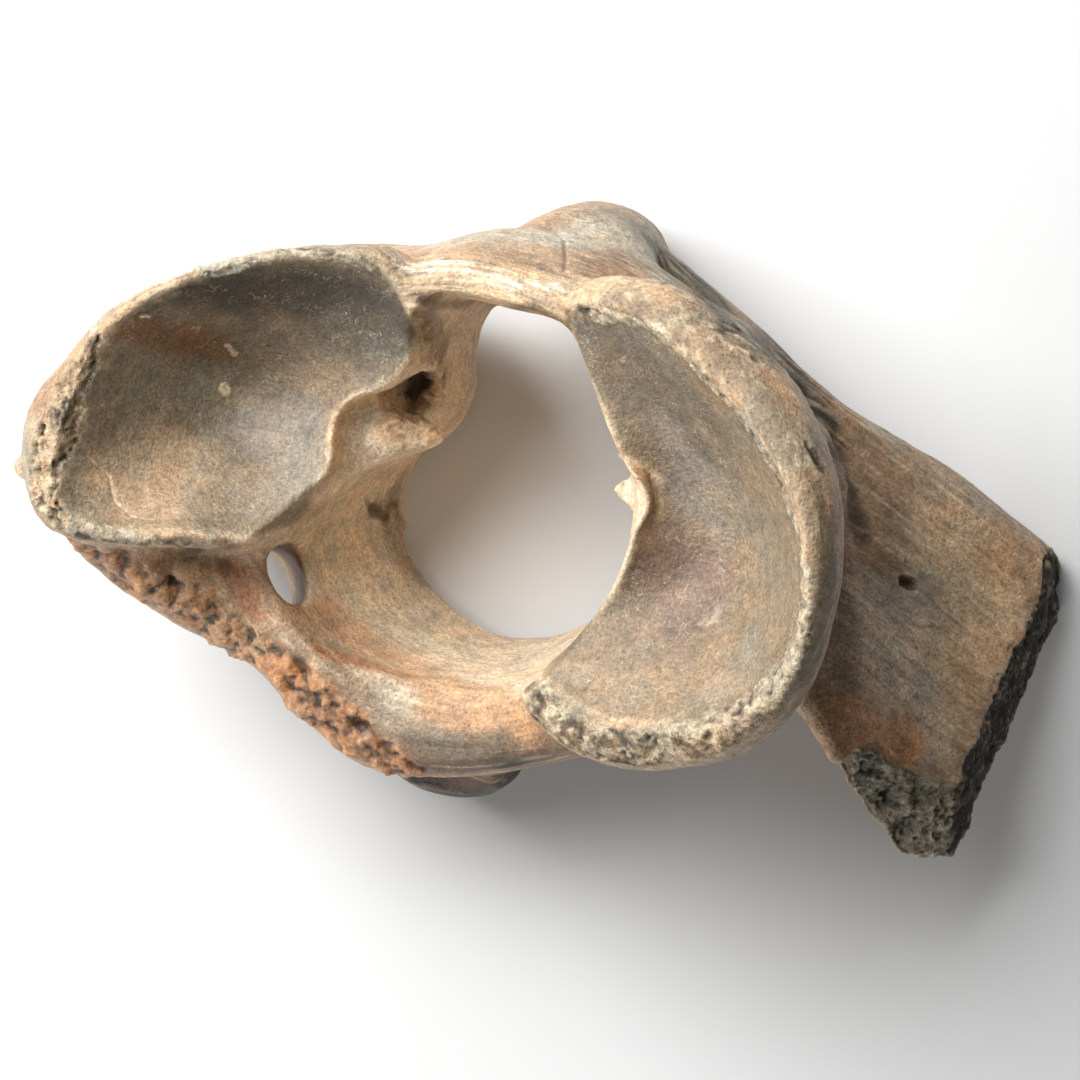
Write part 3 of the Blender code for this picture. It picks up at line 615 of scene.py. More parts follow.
# %% Streaks and furrows along the grain
streaks = grain(9 * MM, 0.95 * MM, 51) + 0.6 * grain(5 * MM, 0.55 * MM, 52)
ARCH_RIDGE = [
    (390, 262, 4), (450, 275, 6), (520, 285, 6), (590, 275, 7), (650, 270, 8), (700, 300, 8), (760, 345, 8),
    (815, 395, 5),
]
streaky = ramp(stroke(ARCH_RIDGE, 2 * MM, 8 * MM, 53), -3 * MM, 3 * MM)
height += plain * grain_clear * (0.05 + 0.14 * streaky + 0.08 * on_wing) * MM * streaks
RIDGE = [(662, 262, 5), (705, 298, 7), (750, 338, 8), (795, 375, 7), (840, 425, 5)]
ridge = ramp(stroke(RIDGE, 1.5 * MM, 8 * MM, 55), -1.5 * MM, 1.5 * MM) * plain
furrows = grain(14 * MM, 1.5 * MM, 56)
height -= ridge * 0.35 * MM * ramp(furrows, 0.0, 0.5)
height += gnarled * 0.42 * MM * hills(place, 1.3 * MM, 57)
print("points on the ridge:", len(within(ridge)))

# %% Cracks and the small foramen
# Each row is a depth in mm and the marks of a stroke. The deepest is the foramen, a hole for a vessel.
CRACKS = [
    (0.35, [(87, 455, 0.35), (110, 476, 0.4), (115, 501, 0.35), (133, 516, 0.3), (153, 519, 0.25)]),
    (0.50, [(546, 226, 0.5), (556, 231, 0.4), (565, 240, 0.4), (566, 258, 0.35), (564, 272, 0.3)]),
    (0.40, [(905, 622, 0.3), (920, 628, 0.4), (934, 627, 0.35), (952, 634, 0.3)]),
    (2.40, [(903, 581, 1.0), (908, 583, 1.25), (913, 585, 1.1)]),
    (0.60, [(808, 445, 0.7), (818, 462, 0.8)]),
    (0.50, [(790, 640, 0.4), (797, 600, 0.4), (796, 560, 0.35), (786, 520, 0.3)]),
    (0.60, [(366, 498, 0.6), (374, 512, 0.9), (386, 518, 0.8)]),
]
for deep, marks in CRACKS:
    height -= deep * MM * ramp(stroke(marks, 0.15 * MM, 1.5 * MM, 54), -0.3 * MM, 0.3 * MM)
print(len(CRACKS), "cracks")

# %% Flecks, and what the thinning leaves alone
FLECKS = [
    [(227, 345, 0.5), (235, 354, 0.6)],
    [(223, 387, 1.0), (226, 391, 1.0)],
    [(141, 316, 0.3), (149, 317, 0.3)],
]
WINDING_CRACK = CRACKS[0][1]
flecks = ramp(strokes(FLECKS, 0.2 * MM, 1 * MM, 58), -0.15 * MM, 0.15 * MM)
winding = ramp(stroke(WINDING_CRACK, 0.15 * MM, 1.5 * MM, 54), -0.05 * MM, 0.2 * MM)
keep_dense = strokes([*FLECKS, *(marks for deep, marks in CRACKS)]) > -1.0 * MM
print("points that the thinning leaves alone:", int(keep_dense.sum()))

# %% Move the points, but none below the floor
place = place + facing * height[:, None]
print(f"fine carving from {height.min() / MM:.2f} to {height.max() / MM:.2f} mm")
place[:, 2] = np.maximum(place[:, 2], 0.0)
facing = placed(skin, place)
print("lowest point", place[:, 2].min())

# %% [markdown]
# Hollows and ridges
#
# Dirt and stain settle in hollows, and ridges are rubbed pale. Comparing each point with the mean of its
# neighbourhood tells which is which: a point below the mean lies in a hollow. The mean is found by
# letting each point take the average of its linked neighbours, again and again.


# %% Measure hollows
def neighbourhood_mean(points, passes):
    start, end = links
    count = np.bincount(start, minlength=POINTS) + np.bincount(end, minlength=POINTS)
    for _ in range(passes):
        sums = np.zeros_like(points)
        for axis in range(3):
            sums[:, axis] += np.bincount(start, points[end, axis], POINTS)
            sums[:, axis] += np.bincount(end, points[start, axis], POINTS)
        points = sums / count[:, None]
    return points


FINE_PASSES = 12
BROAD_PASSES = 70

fine_mean = neighbourhood_mean(place, FINE_PASSES)
fine_hollow = ((fine_mean - place) * facing).sum(1)
broad_mean = neighbourhood_mean(fine_mean, BROAD_PASSES)
broad_hollow = ((broad_mean - place) * facing).sum(1)
print(f"hollows down to {fine_hollow.max() / MM:.2f} mm, ridges up to {-fine_hollow.min() / MM:.2f} mm")

# %% [markdown]
# Thin the skin where it is plain
#
# The even grid has far more points than a smooth cup needs. Decimate removes those that change the shape
# least, so the knobs and crumbled edges keep theirs. What was worked out for the dense skin, such as the
# masks, is then read across from the nearest dense point.

# %% Thin the skin
MOST_TRIANGLES = 197_000


def thinned(mesh):
    obj = bpy.data.objects.new("atlas_fossil", mesh)
    bpy.context.scene.collection.objects.link(obj)
    mesh.calc_loop_triangles()
    fewer = obj.modifiers.new("fewer where plain", "DECIMATE")
    fewer.ratio = min(1.0, MOST_TRIANGLES / len(mesh.loop_triangles))
    fewer.use_collapse_triangulate = True
    may_thin = obj.vertex_groups.new(name="may_thin")
    may_thin.add(np.flatnonzero(~keep_dense).tolist(), 1.0, "REPLACE")
    fewer.vertex_group = may_thin.name
    obj.data = finished_mesh(obj)
    obj.modifiers.clear()
    return obj


fossil = thinned(skin)
dense = KDTree(POINTS)
for number, point in enumerate(place):
    dense.insert(point, number)
dense.balance()
nearest = np.array([dense.find(vertex.co)[1] for vertex in fossil.data.vertices])
print("fossil:", len(fossil.data.polygons), "triangles")

# %% [markdown]
# A box of paints
#
# Ground water coloured this bone in patches: dark grey-brown in the cups, cream where the edges crumbled,
# rust on the knobs, ochre and grey on the outside. Each paint is named once, as a screen colour, and
# turned into the linear colour that Blender mixes.

# %% Paints
SCREEN_PAINTS = {
    "tan": (166, 138, 110), "grey tan": (154, 142, 124), "brown": (114, 88, 64), "umber": (84, 62, 45),
    "ochre": (126, 110, 88), "orange": (182, 140, 102), "rust": (162, 108, 68),
    "red rust": (154, 98, 60), "cream": (214, 200, 172), "white": (218, 211, 198),
    "pale grey": (180, 173, 158), "sand": (196, 167, 134), "slate": (98, 92, 81),
    "charcoal": (50, 43, 34), "black brown": (30, 23, 17), "pink": (186, 140, 118),
    # cup dark is partly the dark colour of the left cup and partly painted shade for the wall under its top
    # edge.
    "cup dark with painted shade": (58, 51, 40), "cup slate": (94, 89, 77), "cup brown": (130, 116, 97),
    "cup sage": (136, 132, 113), "cup tan": (172, 149, 123), "cup grey": (142, 134, 124),
    "cup rust": (122, 84, 54), "cup mauve": (112, 90, 80), "cup umber": (98, 86, 72),
    # wall is a pale tan, brighter than the bone itself: painted light for walls and slopes that lie in shade.
    "cup drab": (134, 123, 107), "sponge": (122, 118, 104), "wall with painted light": (216, 198, 174),
    # apricot is rust made paler: painted light for rust that lies in shade.
    "honey": (170, 116, 70), "rust with painted light": (214, 156, 110),
}


def linear(screen):
    return np.array([((c / 255 + 0.055) / 1.055) ** 2.4 for c in screen])


def mixed(colour, name, share):
    """The colours with a share of a named paint laid over them."""
    return colour + (PAINTS[name] - colour) * np.clip(share, 0, 1)[:, None]


def coated(colour, coats):
    """The colours under several coats of paint, laid one after the other."""
    for name, share in coats:
        colour = mixed(colour, name, share)
    return colour


PAINTS = {name: linear(screen) for name, screen in SCREEN_PAINTS.items()}
print(len(PAINTS), "paints")

# %% [markdown]
# Ground colour
#
# First a ground for the whole bone, also for the sides that the camera doesn't see: tan, drifting to
# grey, orange and brown in soft clouds, and darker on the faces that point down.

# %% Ground colour
clouds = [rolling(place, size * MM, 3, 60 + i) for i, size in enumerate((34, 26, 18))]
stain_and_painted_light = coated(np.tile(PAINTS["tan"], (POINTS, 1)), [
    ("grey tan", ramp(clouds[0], -0.2, 0.6)),
    ("orange", 0.5 * ramp(clouds[1], 0.0, 0.8)),
    ("brown", 0.7 * ramp(clouds[2], 0.1, 0.9)),
    ("umber", 0.6 * ramp(-facing[:, 2], -0.1, 0.8)),
    # Pale wall paint on the canal walls: their tan colour with painted light.
    ("wall with painted light", 0.9 * canal_wall),
    ("honey", 0.60 * knobs),
    ("cup brown", joint),
])
print("mean ground colour", stain_and_painted_light.mean(0).round(3))

# %% [markdown]
# Stains, painted shade and painted light, in order
#
# Then each patch is a wide soft stroke of one paint, laid over the ground in the order a painter would
# work. Most are stains; some are painted shade in creases and under edges, and some are pale paint that
# stands in for light. Some stay inside the cups and some outside them, so each list is laid through a mask.

# %% Stains and painted shade in the cups
STAIN_SOFTNESS = 0.45
MARK_SOFTNESS = 0.30

# Each row is a paint, its strength and the marks of a stroke.
CUP_STAINS_AND_SHADE = [
    # A dark band under the top edge of the left cup: partly its dark colour, partly painted shade where the
    # wall faces away from the lamp.
    ("cup dark with painted shade", 0.95, [
        (128, 320, 2.5), (165, 296, 5), (215, 286, 7.5), (262, 287, 8.5), (312, 292, 9), (352, 302, 9),
        (388, 322, 6),
    ]),
    ("cup slate", 0.85, [(330, 330, 6), (362, 345, 7), (395, 345, 4)]),
    ("cup sage", 0.60, [(140, 388, 6), (185, 385, 7), (222, 392, 5)]),
    ("cup rust", 0.85, [(128, 327, 2.5), (160, 334, 4.2), (196, 341, 4.4), (224, 350, 2.6)]),
    ("cup tan", 0.90, [(105, 472, 4), (140, 462, 7.5), (178, 468, 8), (192, 490, 7), (140, 502, 6)]),
    ("cup grey", 0.85, [(248, 418, 5), (276, 432, 7), (306, 428, 6), (318, 448, 4)]),
    ("cup drab", 0.80, [(236, 500, 5), (268, 495, 6), (298, 480, 5), (318, 458, 3)]),
    ("cup umber", 0.60, [(214, 498, 4), (204, 520, 4)]),
    ("cup umber", 0.75, [(592, 332, 5), (622, 362, 8), (652, 402, 8), (690, 455, 7)]),
    ("cup grey", 0.55, [(668, 440, 5), (700, 490, 7), (716, 530, 6)]),
    ("cup slate", 0.65, [(585, 322, 3), (642, 348, 4), (684, 392, 4), (718, 428, 4)]),
    ("sand", 0.90, [(628, 462, 1.5), (648, 480, 3), (655, 505, 3), (650, 530, 2.6), (636, 548, 1.5)]),
    ("cup mauve", 0.75, [(668, 560, 8), (700, 586, 10), (690, 622, 8)]),
    ("cup drab", 0.80, [(748, 520, 8), (776, 572, 8), (770, 622, 7)]),
    ("cup tan", 0.30, [(560, 672, 6), (602, 692, 8), (652, 697, 9), (702, 682, 8)]),
    ("cup grey", 0.60, [(722, 690, 6), (748, 660, 6)]),
]


def lay(stain_and_painted_light, paints, mask, softness):
    """Lays strokes of paint, each with a cloudy edge, where the mask allows."""
    for number, (name, strength, marks) in enumerate(paints):
        breadth = max(mark[2] for mark in marks) * MM
        inside = stroke(marks, 0.35 * breadth, 2.2 * breadth + 1 * MM, 70 + number)
        stain_and_painted_light = mixed(stain_and_painted_light, name, mask * strength * ramp(inside, -softness * breadth, softness * breadth))
    return stain_and_painted_light


stain_and_painted_light = lay(stain_and_painted_light, CUP_STAINS_AND_SHADE, joint, STAIN_SOFTNESS)
print("cup stains:", len(CUP_STAINS_AND_SHADE))

# %% Stains, painted shade and painted light on the outside
OUTER_STAINS_SHADE_AND_LIGHT = [
    ("pale grey", 0.75, [(430, 246, 3), (480, 236, 5), (540, 234, 7), (600, 234, 8), (650, 256, 7)]),
    ("sand", 0.80, [(388, 262, 4), (450, 276, 6), (520, 286, 6), (585, 292, 5)]),
    ("sand", 0.75, [(562, 274, 4), (610, 280, 5), (655, 292, 5)]),
    ("brown", 0.80, [(420, 298, 1.4), (478, 303, 1.8), (530, 308, 1.8), (566, 313, 1.0)]),
    ("slate", 0.90, [(648, 240, 3), (700, 288, 8), (745, 332, 9), (785, 364, 8), (812, 394, 5)]),
    ("ochre", 0.95, [
        (612, 296, 3), (690, 342, 4), (738, 384, 4), (778, 426, 4), (804, 472, 4), (818, 522, 3.5),
        (824, 582, 3.5), (818, 640, 3.5), (792, 702, 4),
    ]),
    ("sand", 0.95, [
        (404, 312, 1.8), (412, 350, 2.6), (388, 394, 4.5), (358, 414, 5.5), (342, 448, 5.5),
        (326, 488, 4.5), (300, 520, 3.5),
    ]),
    # Pale wall paint on the slope from the left cup down into the canal: painted light.
    ("wall with painted light", 0.90, [(392, 402, 3.0), (362, 422, 5.0), (348, 452, 4.5), (330, 488, 3.5)]),
    ("brown", 0.65, [(432, 300, 3), (428, 330, 3.5), (442, 350, 3)]),
    # Charcoal in the pit above the spur: painted shade in the hollow.
    ("charcoal", 0.85, [(410, 390, 1.6), (420, 376, 2.4), (444, 378, 2.2)]),
    ("pink", 0.95, [(425, 403, 1.3), (432, 398, 1.3)]),
    ("sand", 0.80, [(388, 426, 3), (412, 436, 4), (440, 438, 2)]),
    ("umber", 0.85, [(372, 508, 1.6), (384, 513, 2.6), (396, 509, 1.4)]),
    # Pale wall paint on the inner wall of the dorsal arch: its colour with painted light.
    ("wall with painted light", 0.90, [(345, 545, 8), (370, 602, 9), (420, 632, 9), (470, 652, 7)]),
    ("cream", 0.55, [(336, 576, 1.8), (372, 602, 2.6), (420, 629, 3.0), (480, 650, 2.4)]),
    ("brown", 0.55, [(398, 482, 3.5), (396, 530, 4.5), (416, 572, 3.5)]),
    ("pale grey", 0.75, [(312, 562, 2.8), (318, 592, 2.8)]),
    ("rust", 0.40, [(140, 566, 3.5), (178, 584, 5), (202, 602, 4)]),
    ("red rust", 0.70, [(232, 566, 3), (246, 590, 3.2), (254, 612, 2.5)]),
    ("sand", 0.60, [(212, 618, 3.5), (250, 642, 3.5)]),
    ("sand", 0.55, [(150, 560, 2.5), (185, 576, 3), (215, 590, 3)]),
    ("slate", 0.75, [(292, 650, 1.8), (300, 658, 2.0)]),
    ("orange", 0.65, [(335, 618, 5), (380, 650, 6), (430, 682, 6), (480, 705, 7), (530, 725, 5)]),
    ("red rust", 0.65, [(322, 650, 1.8), (360, 662, 2.2), (408, 676, 1.6)]),
    ("pale grey", 0.70, [(396, 694, 2.0), (408, 696, 2.0)]),
    ("umber", 0.55, [(306, 702, 3.5), (340, 728, 4), (372, 748, 4)]),
    ("slate", 0.75, [(400, 743, 2.6), (450, 747, 3.6), (504, 746, 2.8)]),
    # The dark crescent under the dorsal arch is painted shade on a face that turns down, away from the lamp;
    # the red rust among these strokes is a real stain.
    ("umber", 0.95, [(395, 782, 5), (465, 790, 7), (512, 782, 6), (545, 766, 4)]),
    ("black brown", 0.90, [(405, 780, 4.5), (440, 790, 8.0), (480, 791, 8.0), (518, 778, 6.0)]),
    ("umber", 0.90, [(418, 767, 3.0), (465, 767, 4.2), (510, 764, 4.0), (544, 759, 2.4)]),
    ("red rust", 0.20, [(455, 786, 2.0), (485, 780, 1.6)]),
    ("black brown", 0.90, [(500, 768, 1.2), (522, 762, 1.4)]),
    ("white", 0.90, [(102, 531, 1.0), (116, 536, 1.3), (130, 541, 0.9)]),
    ("rust", 0.90, [(156, 537, 0.8), (159, 538, 0.8)]),
    ("slate", 0.70, [(172, 542, 1.6), (200, 546, 1.4)]),
    # Umber under the lower lip of the left cup: painted shadow in the crease below the lip.
    ("umber", 0.65, [(192, 552, 2), (228, 548, 2)]),
    ("brown", 0.50, [(858, 438, 6), (890, 490, 8), (880, 560, 7)]),
    # Sand on the wing: partly its tan colour, partly painted light where the right cup shades it.
    ("sand", 0.60, [(950, 545, 8), (1000, 596, 7), (972, 650, 8), (950, 702, 7)]),
    # Brown on the wing beside the cup: partly its colour, partly painted shade in the valley.
    ("brown", 0.30, [(872, 604, 6), (882, 650, 6)]),
    # Pale wall paint on the wing below the cup: painted light.
    ("wall with painted light", 0.75, [(915, 640, 6), (925, 690, 8), (930, 735, 5)]),
    # More sand on the wing: partly its colour, partly painted light.
    ("sand", 0.75, [(945, 530, 9), (975, 590, 9), (955, 660, 7)]),
    # Charcoal in the valley between the right cup and the wing: painted shadow cast by the cup wall.
    ("charcoal", 0.92, [(810, 400, 2.2), (826, 427, 3.6), (836, 452, 2.6)]),
    ("charcoal", 0.65, [(846, 478, 2.0), (857, 513, 2.6), (862, 538, 1.6)]),
    # More pale wall paint on the wing's lower part: painted light where the cup shades it.
    ("wall with painted light", 0.75, [(862, 600, 6), (874, 650, 9), (886, 700, 10), (886, 740, 9)]),
    # Umber along the foot of the cup wall: painted shade in the valley.
    ("umber", 0.45, [(840, 600, 3.0), (846, 660, 3.5), (850, 705, 3.0)]),
    # Apricot, a rust made paler, on the wing's lower end: painted light over its rust stain.
    ("rust with painted light", 0.90, [(862, 735, 7), (890, 755, 7), (906, 740, 6)]),
    ("rust", 0.50, [(868, 744, 2.8), (888, 764, 2.8), (904, 748, 2.0)]),
    # Black brown in the small foramen: painted shade inside the hole.
    ("black brown", 1.00, [(902, 581, 1.2), (914, 586, 1.3)]),
]
outside = (1 - joint) * (1 - broken)
stain_and_painted_light = lay(stain_and_painted_light, OUTER_STAINS_SHADE_AND_LIGHT, outside, STAIN_SOFTNESS)
print("outer stains:", len(OUTER_STAINS_SHADE_AND_LIGHT))

# %% [markdown]
# Small marks
#
# Single flecks and scratches that the eye picks out: cream chips in the left cup, a pale crack that winds
# along its floor, and white streaks on the arch that are a painted highlight, where it shines.

# %% Small marks
SMALL_MARKS = [
    ("white", 0.60, [(690, 640, 0.2), (720, 610, 0.25), (740, 600, 0.2)]),
    ("cream", 0.60, [(660, 560, 0.25), (668, 572, 0.3)]),
    ("charcoal", 0.80, [(811, 450, 0.9), (820, 466, 1.2)]),
]
stain_and_painted_light = lay(stain_and_painted_light, SMALL_MARKS, np.ones(POINTS), MARK_SOFTNESS)
stain_and_painted_light = coated(stain_and_painted_light, [("cream", 0.95 * flecks), ("cream", 0.60 * winding)])
print("small marks:", len(SMALL_MARKS))

# %% Streaks of paint along the grain
# White streaks along the grain on the arch are a painted highlight where it shines; the same place is made
# glossier.
ARCH_HIGHLIGHT_STREAK = [(400, 262, 2.2), (440, 264, 3), (480, 272, 3), (520, 280, 2.6), (556, 286, 1.6)]
arch_painted_highlight = ramp(stroke(ARCH_HIGHLIGHT_STREAK, 1 * MM, 6 * MM, 90), -1.5 * MM, 1.5 * MM)
pale_lines = grain(22 * MM, 1.3 * MM, 91)
streak_share = plain * grain_clear * (0.35 + 0.65 * streaky) * (1 - 0.7 * canal_wall)
stain_and_painted_light = coated(stain_and_painted_light, [
    # White on the arch: painted highlight.
    ("white", arch_painted_highlight * ramp(streaks, -0.1, 0.5) * 0.85 * plain),
    ("cream", 0.35 * plain * grain_clear * ramp(pale_lines, 0.15, 0.6)),
    ("umber", 0.60 * streak_share * ramp(-pale_lines, 0.10, 0.6)),
    ("charcoal", 0.75 * ridge * ramp(furrows, 0.05, 0.5)),
])
print("mean stain with streaks", stain_and_painted_light.mean(0).round(3))

# %% [markdown]
# Crumbled bone, dirt and wear
#
# The crumbled lips get their own mix of cream, sand and grey. Last come the two things that tie colour to
# shape: dark dirt in whatever is hollow, and pale wear on whatever stands out.

# %% Colours of the crumbled and broken bone
clods = pushed(place, 3 * MM, 1 * MM, 92)
grey_clods = rolling(clods, 6 * MM, 3, 93)
brown_clods = rolling(clods, 5 * MM, 3, 94)
fine_clods = rolling(clods, 2.2 * MM, 3, 96)
inner_lip = crust * ramp(cup_inside, -2.5 * MM, -0.5 * MM)
CRUMBLED_COATS = [
    ("ochre", crust * 0.95),
    ("grey tan", crust * ramp(-brown_clods, -0.2, 0.3) * 0.9),
    ("brown", crust * ramp(brown_clods, -0.1, 0.35) * 0.85),
    ("slate", crust * ramp(grey_clods, 0.10, 0.45) * 0.85),
    ("cream", crust * ramp(fine_clods, -0.05, 0.5) * 0.75),
    ("pale grey", inner_lip * 0.45),
    ("white", crust * ramp(place[:, 1] - place[:, 0], 105 * MM, 125 * MM) * 0.6),
    ("charcoal", crust * ramp(-fine_clods, 0.25, 0.6) * 0.8),
    ("sand", stripped * 0.9),
    ("cream", stripped * ramp(fine_clods, -0.3, 0.3) * 0.75),
    ("slate", stripped * ramp(grey_clods, 0.0, 0.35) * 0.85),
    ("brown", stripped * ramp(-grey_clods - brown_clods, 0.3, 0.8) * 0.6),
]
stain_and_painted_light = coated(stain_and_painted_light, CRUMBLED_COATS)

# Broken faces that point to the right, away from the lamp, get black brown: painted shade. The pale grey goes
# only on the other faces: partly the grey of the spongy bone, partly painted light.
side_in_painted_shade = ramp(facing[:, 0] + 0.15 * fine_clods, 0.35, 0.65)
SPONGY_COATS = [
    ("sponge", broken),
    ("pale grey", broken * (1 - side_in_painted_shade) * ramp(rolling(place, 4 * MM, 3, 95), 0.15, 0.7) * 0.5),
    ("charcoal", 0.65 * np.maximum(worn_pits, 0.8 * spongy_pits)),
    # Black brown on the broken faces that point away from the lamp: painted shade.
    ("black brown", broken * side_in_painted_shade * 0.92),
]
stain_and_painted_light = coated(stain_and_painted_light, SPONGY_COATS)
print("mean stain without dirt", stain_and_painted_light.mean(0).round(3))

# %% Dirt in the hollows, wear on the ridges
dirty = np.clip(knobs + worn + 0.45 * plain + broken, 0, 1)
lip = ramp(-np.abs(cup_inside - 0.4 * MM), -0.7 * MM, -0.2 * MM)
DIRT_AND_WEAR = [
    ("black brown", 0.75 * dirty * ramp(fine_hollow, 0.06 * MM, 0.45 * MM)),
    ("umber", 0.28 * (1 - joint) * ramp(broad_hollow, 0.5 * MM, 2.5 * MM)),
    ("rust", 0.5 * knobs * ramp(rolling(place, 5 * MM, 3, 97), 0.0, 0.5)),
    ("black brown", 0.70 * knobs * ramp(fine_hollow, -0.02 * MM, 0.22 * MM)),
    ("honey", 0.65 * knobs * ramp(-fine_hollow, 0.0, 0.20 * MM)),
    ("cream", 0.35 * dirty * (1 - 0.6 * knobs) * ramp(-fine_hollow, 0.08 * MM, 0.40 * MM)),
    ("sand", 0.30 * (1 - joint) * ramp(-broad_hollow, 0.8 * MM, 2.5 * MM)),
    ("cream", 0.35 * lip * (1 - worn)),
]
stain_and_painted_light = coated(stain_and_painted_light, DIRT_AND_WEAR)
print("mean stain", stain_and_painted_light.mean(0).round(3))

# %% [markdown]
# Hand the colours to the shader
#
# Colours and masks were worked out for the dense skin. Each point of the thinned mesh takes them from the
# nearest dense point and carries them as attributes, which the material can read.


# %% Write the masks and the colours, painted shade and light included, on the fossil
def write(name, kind, field, values):
    made = fossil.data.attributes.new(name, kind, "POINT")
    made.data.foreach_set(field, values[nearest].astype(np.float32).ravel())


MASKS = {
    "joint": joint,
    "rough": np.clip(worn + broken + 0.5 * worn_pits, 0, 1),
    "grainy": plain * grain_clear * (0.45 + 0.55 * streaky) * (1 - 0.6 * canal_wall),
    "flecked": 0.30 + 0.30 * (1 - joint) - 0.42 * canal_wall,
    "polish": np.clip(knobs * 0.8 + arch_painted_highlight, 0, 1),
}
write("stain_and_painted_light", "FLOAT_COLOR", "color", np.column_stack([stain_and_painted_light, np.ones(POINTS)]))
for name, values in MASKS.items():
    write(name, "FLOAT", "value", values)
write("grain_place", "FLOAT_VECTOR", "vector", grain_place)
print("attributes:", [a.name for a in fossil.data.attributes if not a.name.startswith(".")])

# %% [markdown]
# Shader building blocks
#
# The attributes carry colour down to about a millimetre. Everything finer is made in the shader, from the
# bone's object coordinates, so it stays put from every side. Each effect is a node group with named
# inputs: speckle for salt-and-pepper grain, pores for pinholes, scratches for the pale hairlines and
# flecks for dark specks.


# %% Helpers for nodes
def add(tree, kind, inputs=None, **settings):
    """A new node; each input is a plain value or another node's output."""
    node = tree.nodes.new(kind)
    for name, value in settings.items():
        setattr(node, name, value)
    for name, value in (inputs or {}).items():
        if isinstance(value, bpy.types.NodeSocket):
            tree.links.new(value, node.inputs[name])
        else:
            node.inputs[name].default_value = value
    return node


def colour_mix(tree, share, first, second, blend="MIX"):
    inputs = {0: share, 6: first, 7: second}
    return add(tree, "ShaderNodeMix", inputs, data_type="RGBA", blend_type=blend).outputs[2]


def reckon(tree, operation, first, second=0.0, third=0.0):
    return add(tree, "ShaderNodeMath", {0: first, 1: second, 2: third}, operation=operation).outputs[0]


def remapped(tree, value, low, high, to_low=0.0, to_high=1.0):
    inputs = {"Value": value, "From Min": low, "From Max": high, "To Min": to_low, "To Max": to_high}
    return add(tree, "ShaderNodeMapRange", inputs, interpolation_type="SMOOTHSTEP").outputs["Result"]


def noise(tree, place, scale, detail, **more):
    """The grey value of a noise texture, which has 0.5 as its mean."""
    inputs = {"Vector": place, "Scale": scale, "Detail": detail, **more}
    return add(tree, "ShaderNodeTexNoise", inputs).outputs[0]


def new_group(name, amounts, masks):
    """An empty group that takes a place and some amounts, and gives some masks."""
    group = bpy.data.node_groups.new(name, "ShaderNodeTree")
    group.interface.new_socket("Place", in_out="INPUT", socket_type="NodeSocketVector")
    for label, usual in amounts.items():
        socket = group.interface.new_socket(label, in_out="INPUT", socket_type="NodeSocketFloat")
        socket.default_value = usual
    for label in masks:
        group.interface.new_socket(label, in_out="OUTPUT", socket_type="NodeSocketFloat")
    return group, group.nodes.new("NodeGroupInput").outputs, group.nodes.new("NodeGroupOutput").inputs


print("helpers ready")

# %% Speckle
speckle_amounts = {"Per metre": 900.0, "Strength": 0.2}
speckle_group, given, result = new_group("speckle", speckle_amounts, ["Brightness", "Height"])
speckles = noise(speckle_group, given["Place"], given["Per metre"], 4.0, Roughness=0.65)
centred = reckon(speckle_group, "SUBTRACT", speckles, 0.5)
brighter = reckon(speckle_group, "MULTIPLY_ADD", centred, given["Strength"], 1.0)
speckle_group.links.new(brighter, result["Brightness"])
speckle_group.links.new(centred, result["Height"])
print("speckle:", len(speckle_group.nodes), "nodes")

# %% Pores
pore_group, given, result = new_group("pores", {"Per metre": 500.0, "Size": 0.2}, ["Pores"])
scattered = {"Vector": given["Place"], "Scale": given["Per metre"], "Randomness": 1.0}
dots = add(pore_group, "ShaderNodeTexVoronoi", scattered).outputs["Distance"]
patchy = remapped(pore_group, noise(pore_group, given["Place"], 120.0, 2.0), 0.42, 0.68, 0.15, 1.6)
open_size = reckon(pore_group, "MULTIPLY", given["Size"], patchy)
pore_depth = reckon(pore_group, "SUBTRACT", open_size, dots)
pore_group.links.new(remapped(pore_group, pore_depth, -0.03, 0.08), result["Pores"])
print("pores:", len(pore_group.nodes), "nodes")

# %% Scratches
scratch_group, given, result = new_group("scratches", {"Per metre": 420.0, "Width": 0.010}, ["Scratches"])
wander = noise(scratch_group, given["Place"], given["Per metre"], 2.5, Distortion=1.2)
off_line = reckon(scratch_group, "ABSOLUTE", reckon(scratch_group, "SUBTRACT", wander, 0.5))
inside_line = reckon(scratch_group, "SUBTRACT", given["Width"], off_line)
line = remapped(scratch_group, inside_line, -0.004, 0.004)
broken_up = remapped(scratch_group, noise(scratch_group, given["Place"], 260.0, 3.0), 0.44, 0.60)
scratch_group.links.new(reckon(scratch_group, "MULTIPLY", line, broken_up), result["Scratches"])
print("scratches:", len(scratch_group.nodes), "nodes")

# %% Flecks
fleck_group, given, result = new_group("flecks", {"Per metre": 700.0, "Size": 0.60}, ["Flecks"])
specks = noise(fleck_group, given["Place"], given["Per metre"], 5.0, Roughness=0.7)
over = reckon(fleck_group, "SUBTRACT", specks, given["Size"])
fleck_group.links.new(remapped(fleck_group, over, -0.03, 0.09), result["Flecks"])
print("flecks:", len(fleck_group.nodes), "nodes")

# %% [markdown]
# The bone material
#
# One Principled material dresses the whole bone. Base colour is the painted stain with its painted shade and
# light, broken up by speckle at three sizes and dark flecks, streaked along the grain, pricked with pores
# outside the cups and scribbled with hairlines inside them. The same patterns drive a little bump and the
# roughness, so that light and colour agree.

# %% Patterns of the bone material
bone = bpy.data.materials.new("fossil_bone")
bone.use_nodes = True
tree = bone.node_tree
shader = tree.nodes["Principled BSDF"]
here = add(tree, "ShaderNodeTexCoord").outputs["Object"]


def carried(name, output="Fac"):
    return add(tree, "ShaderNodeAttribute", attribute_name=name).outputs[output]


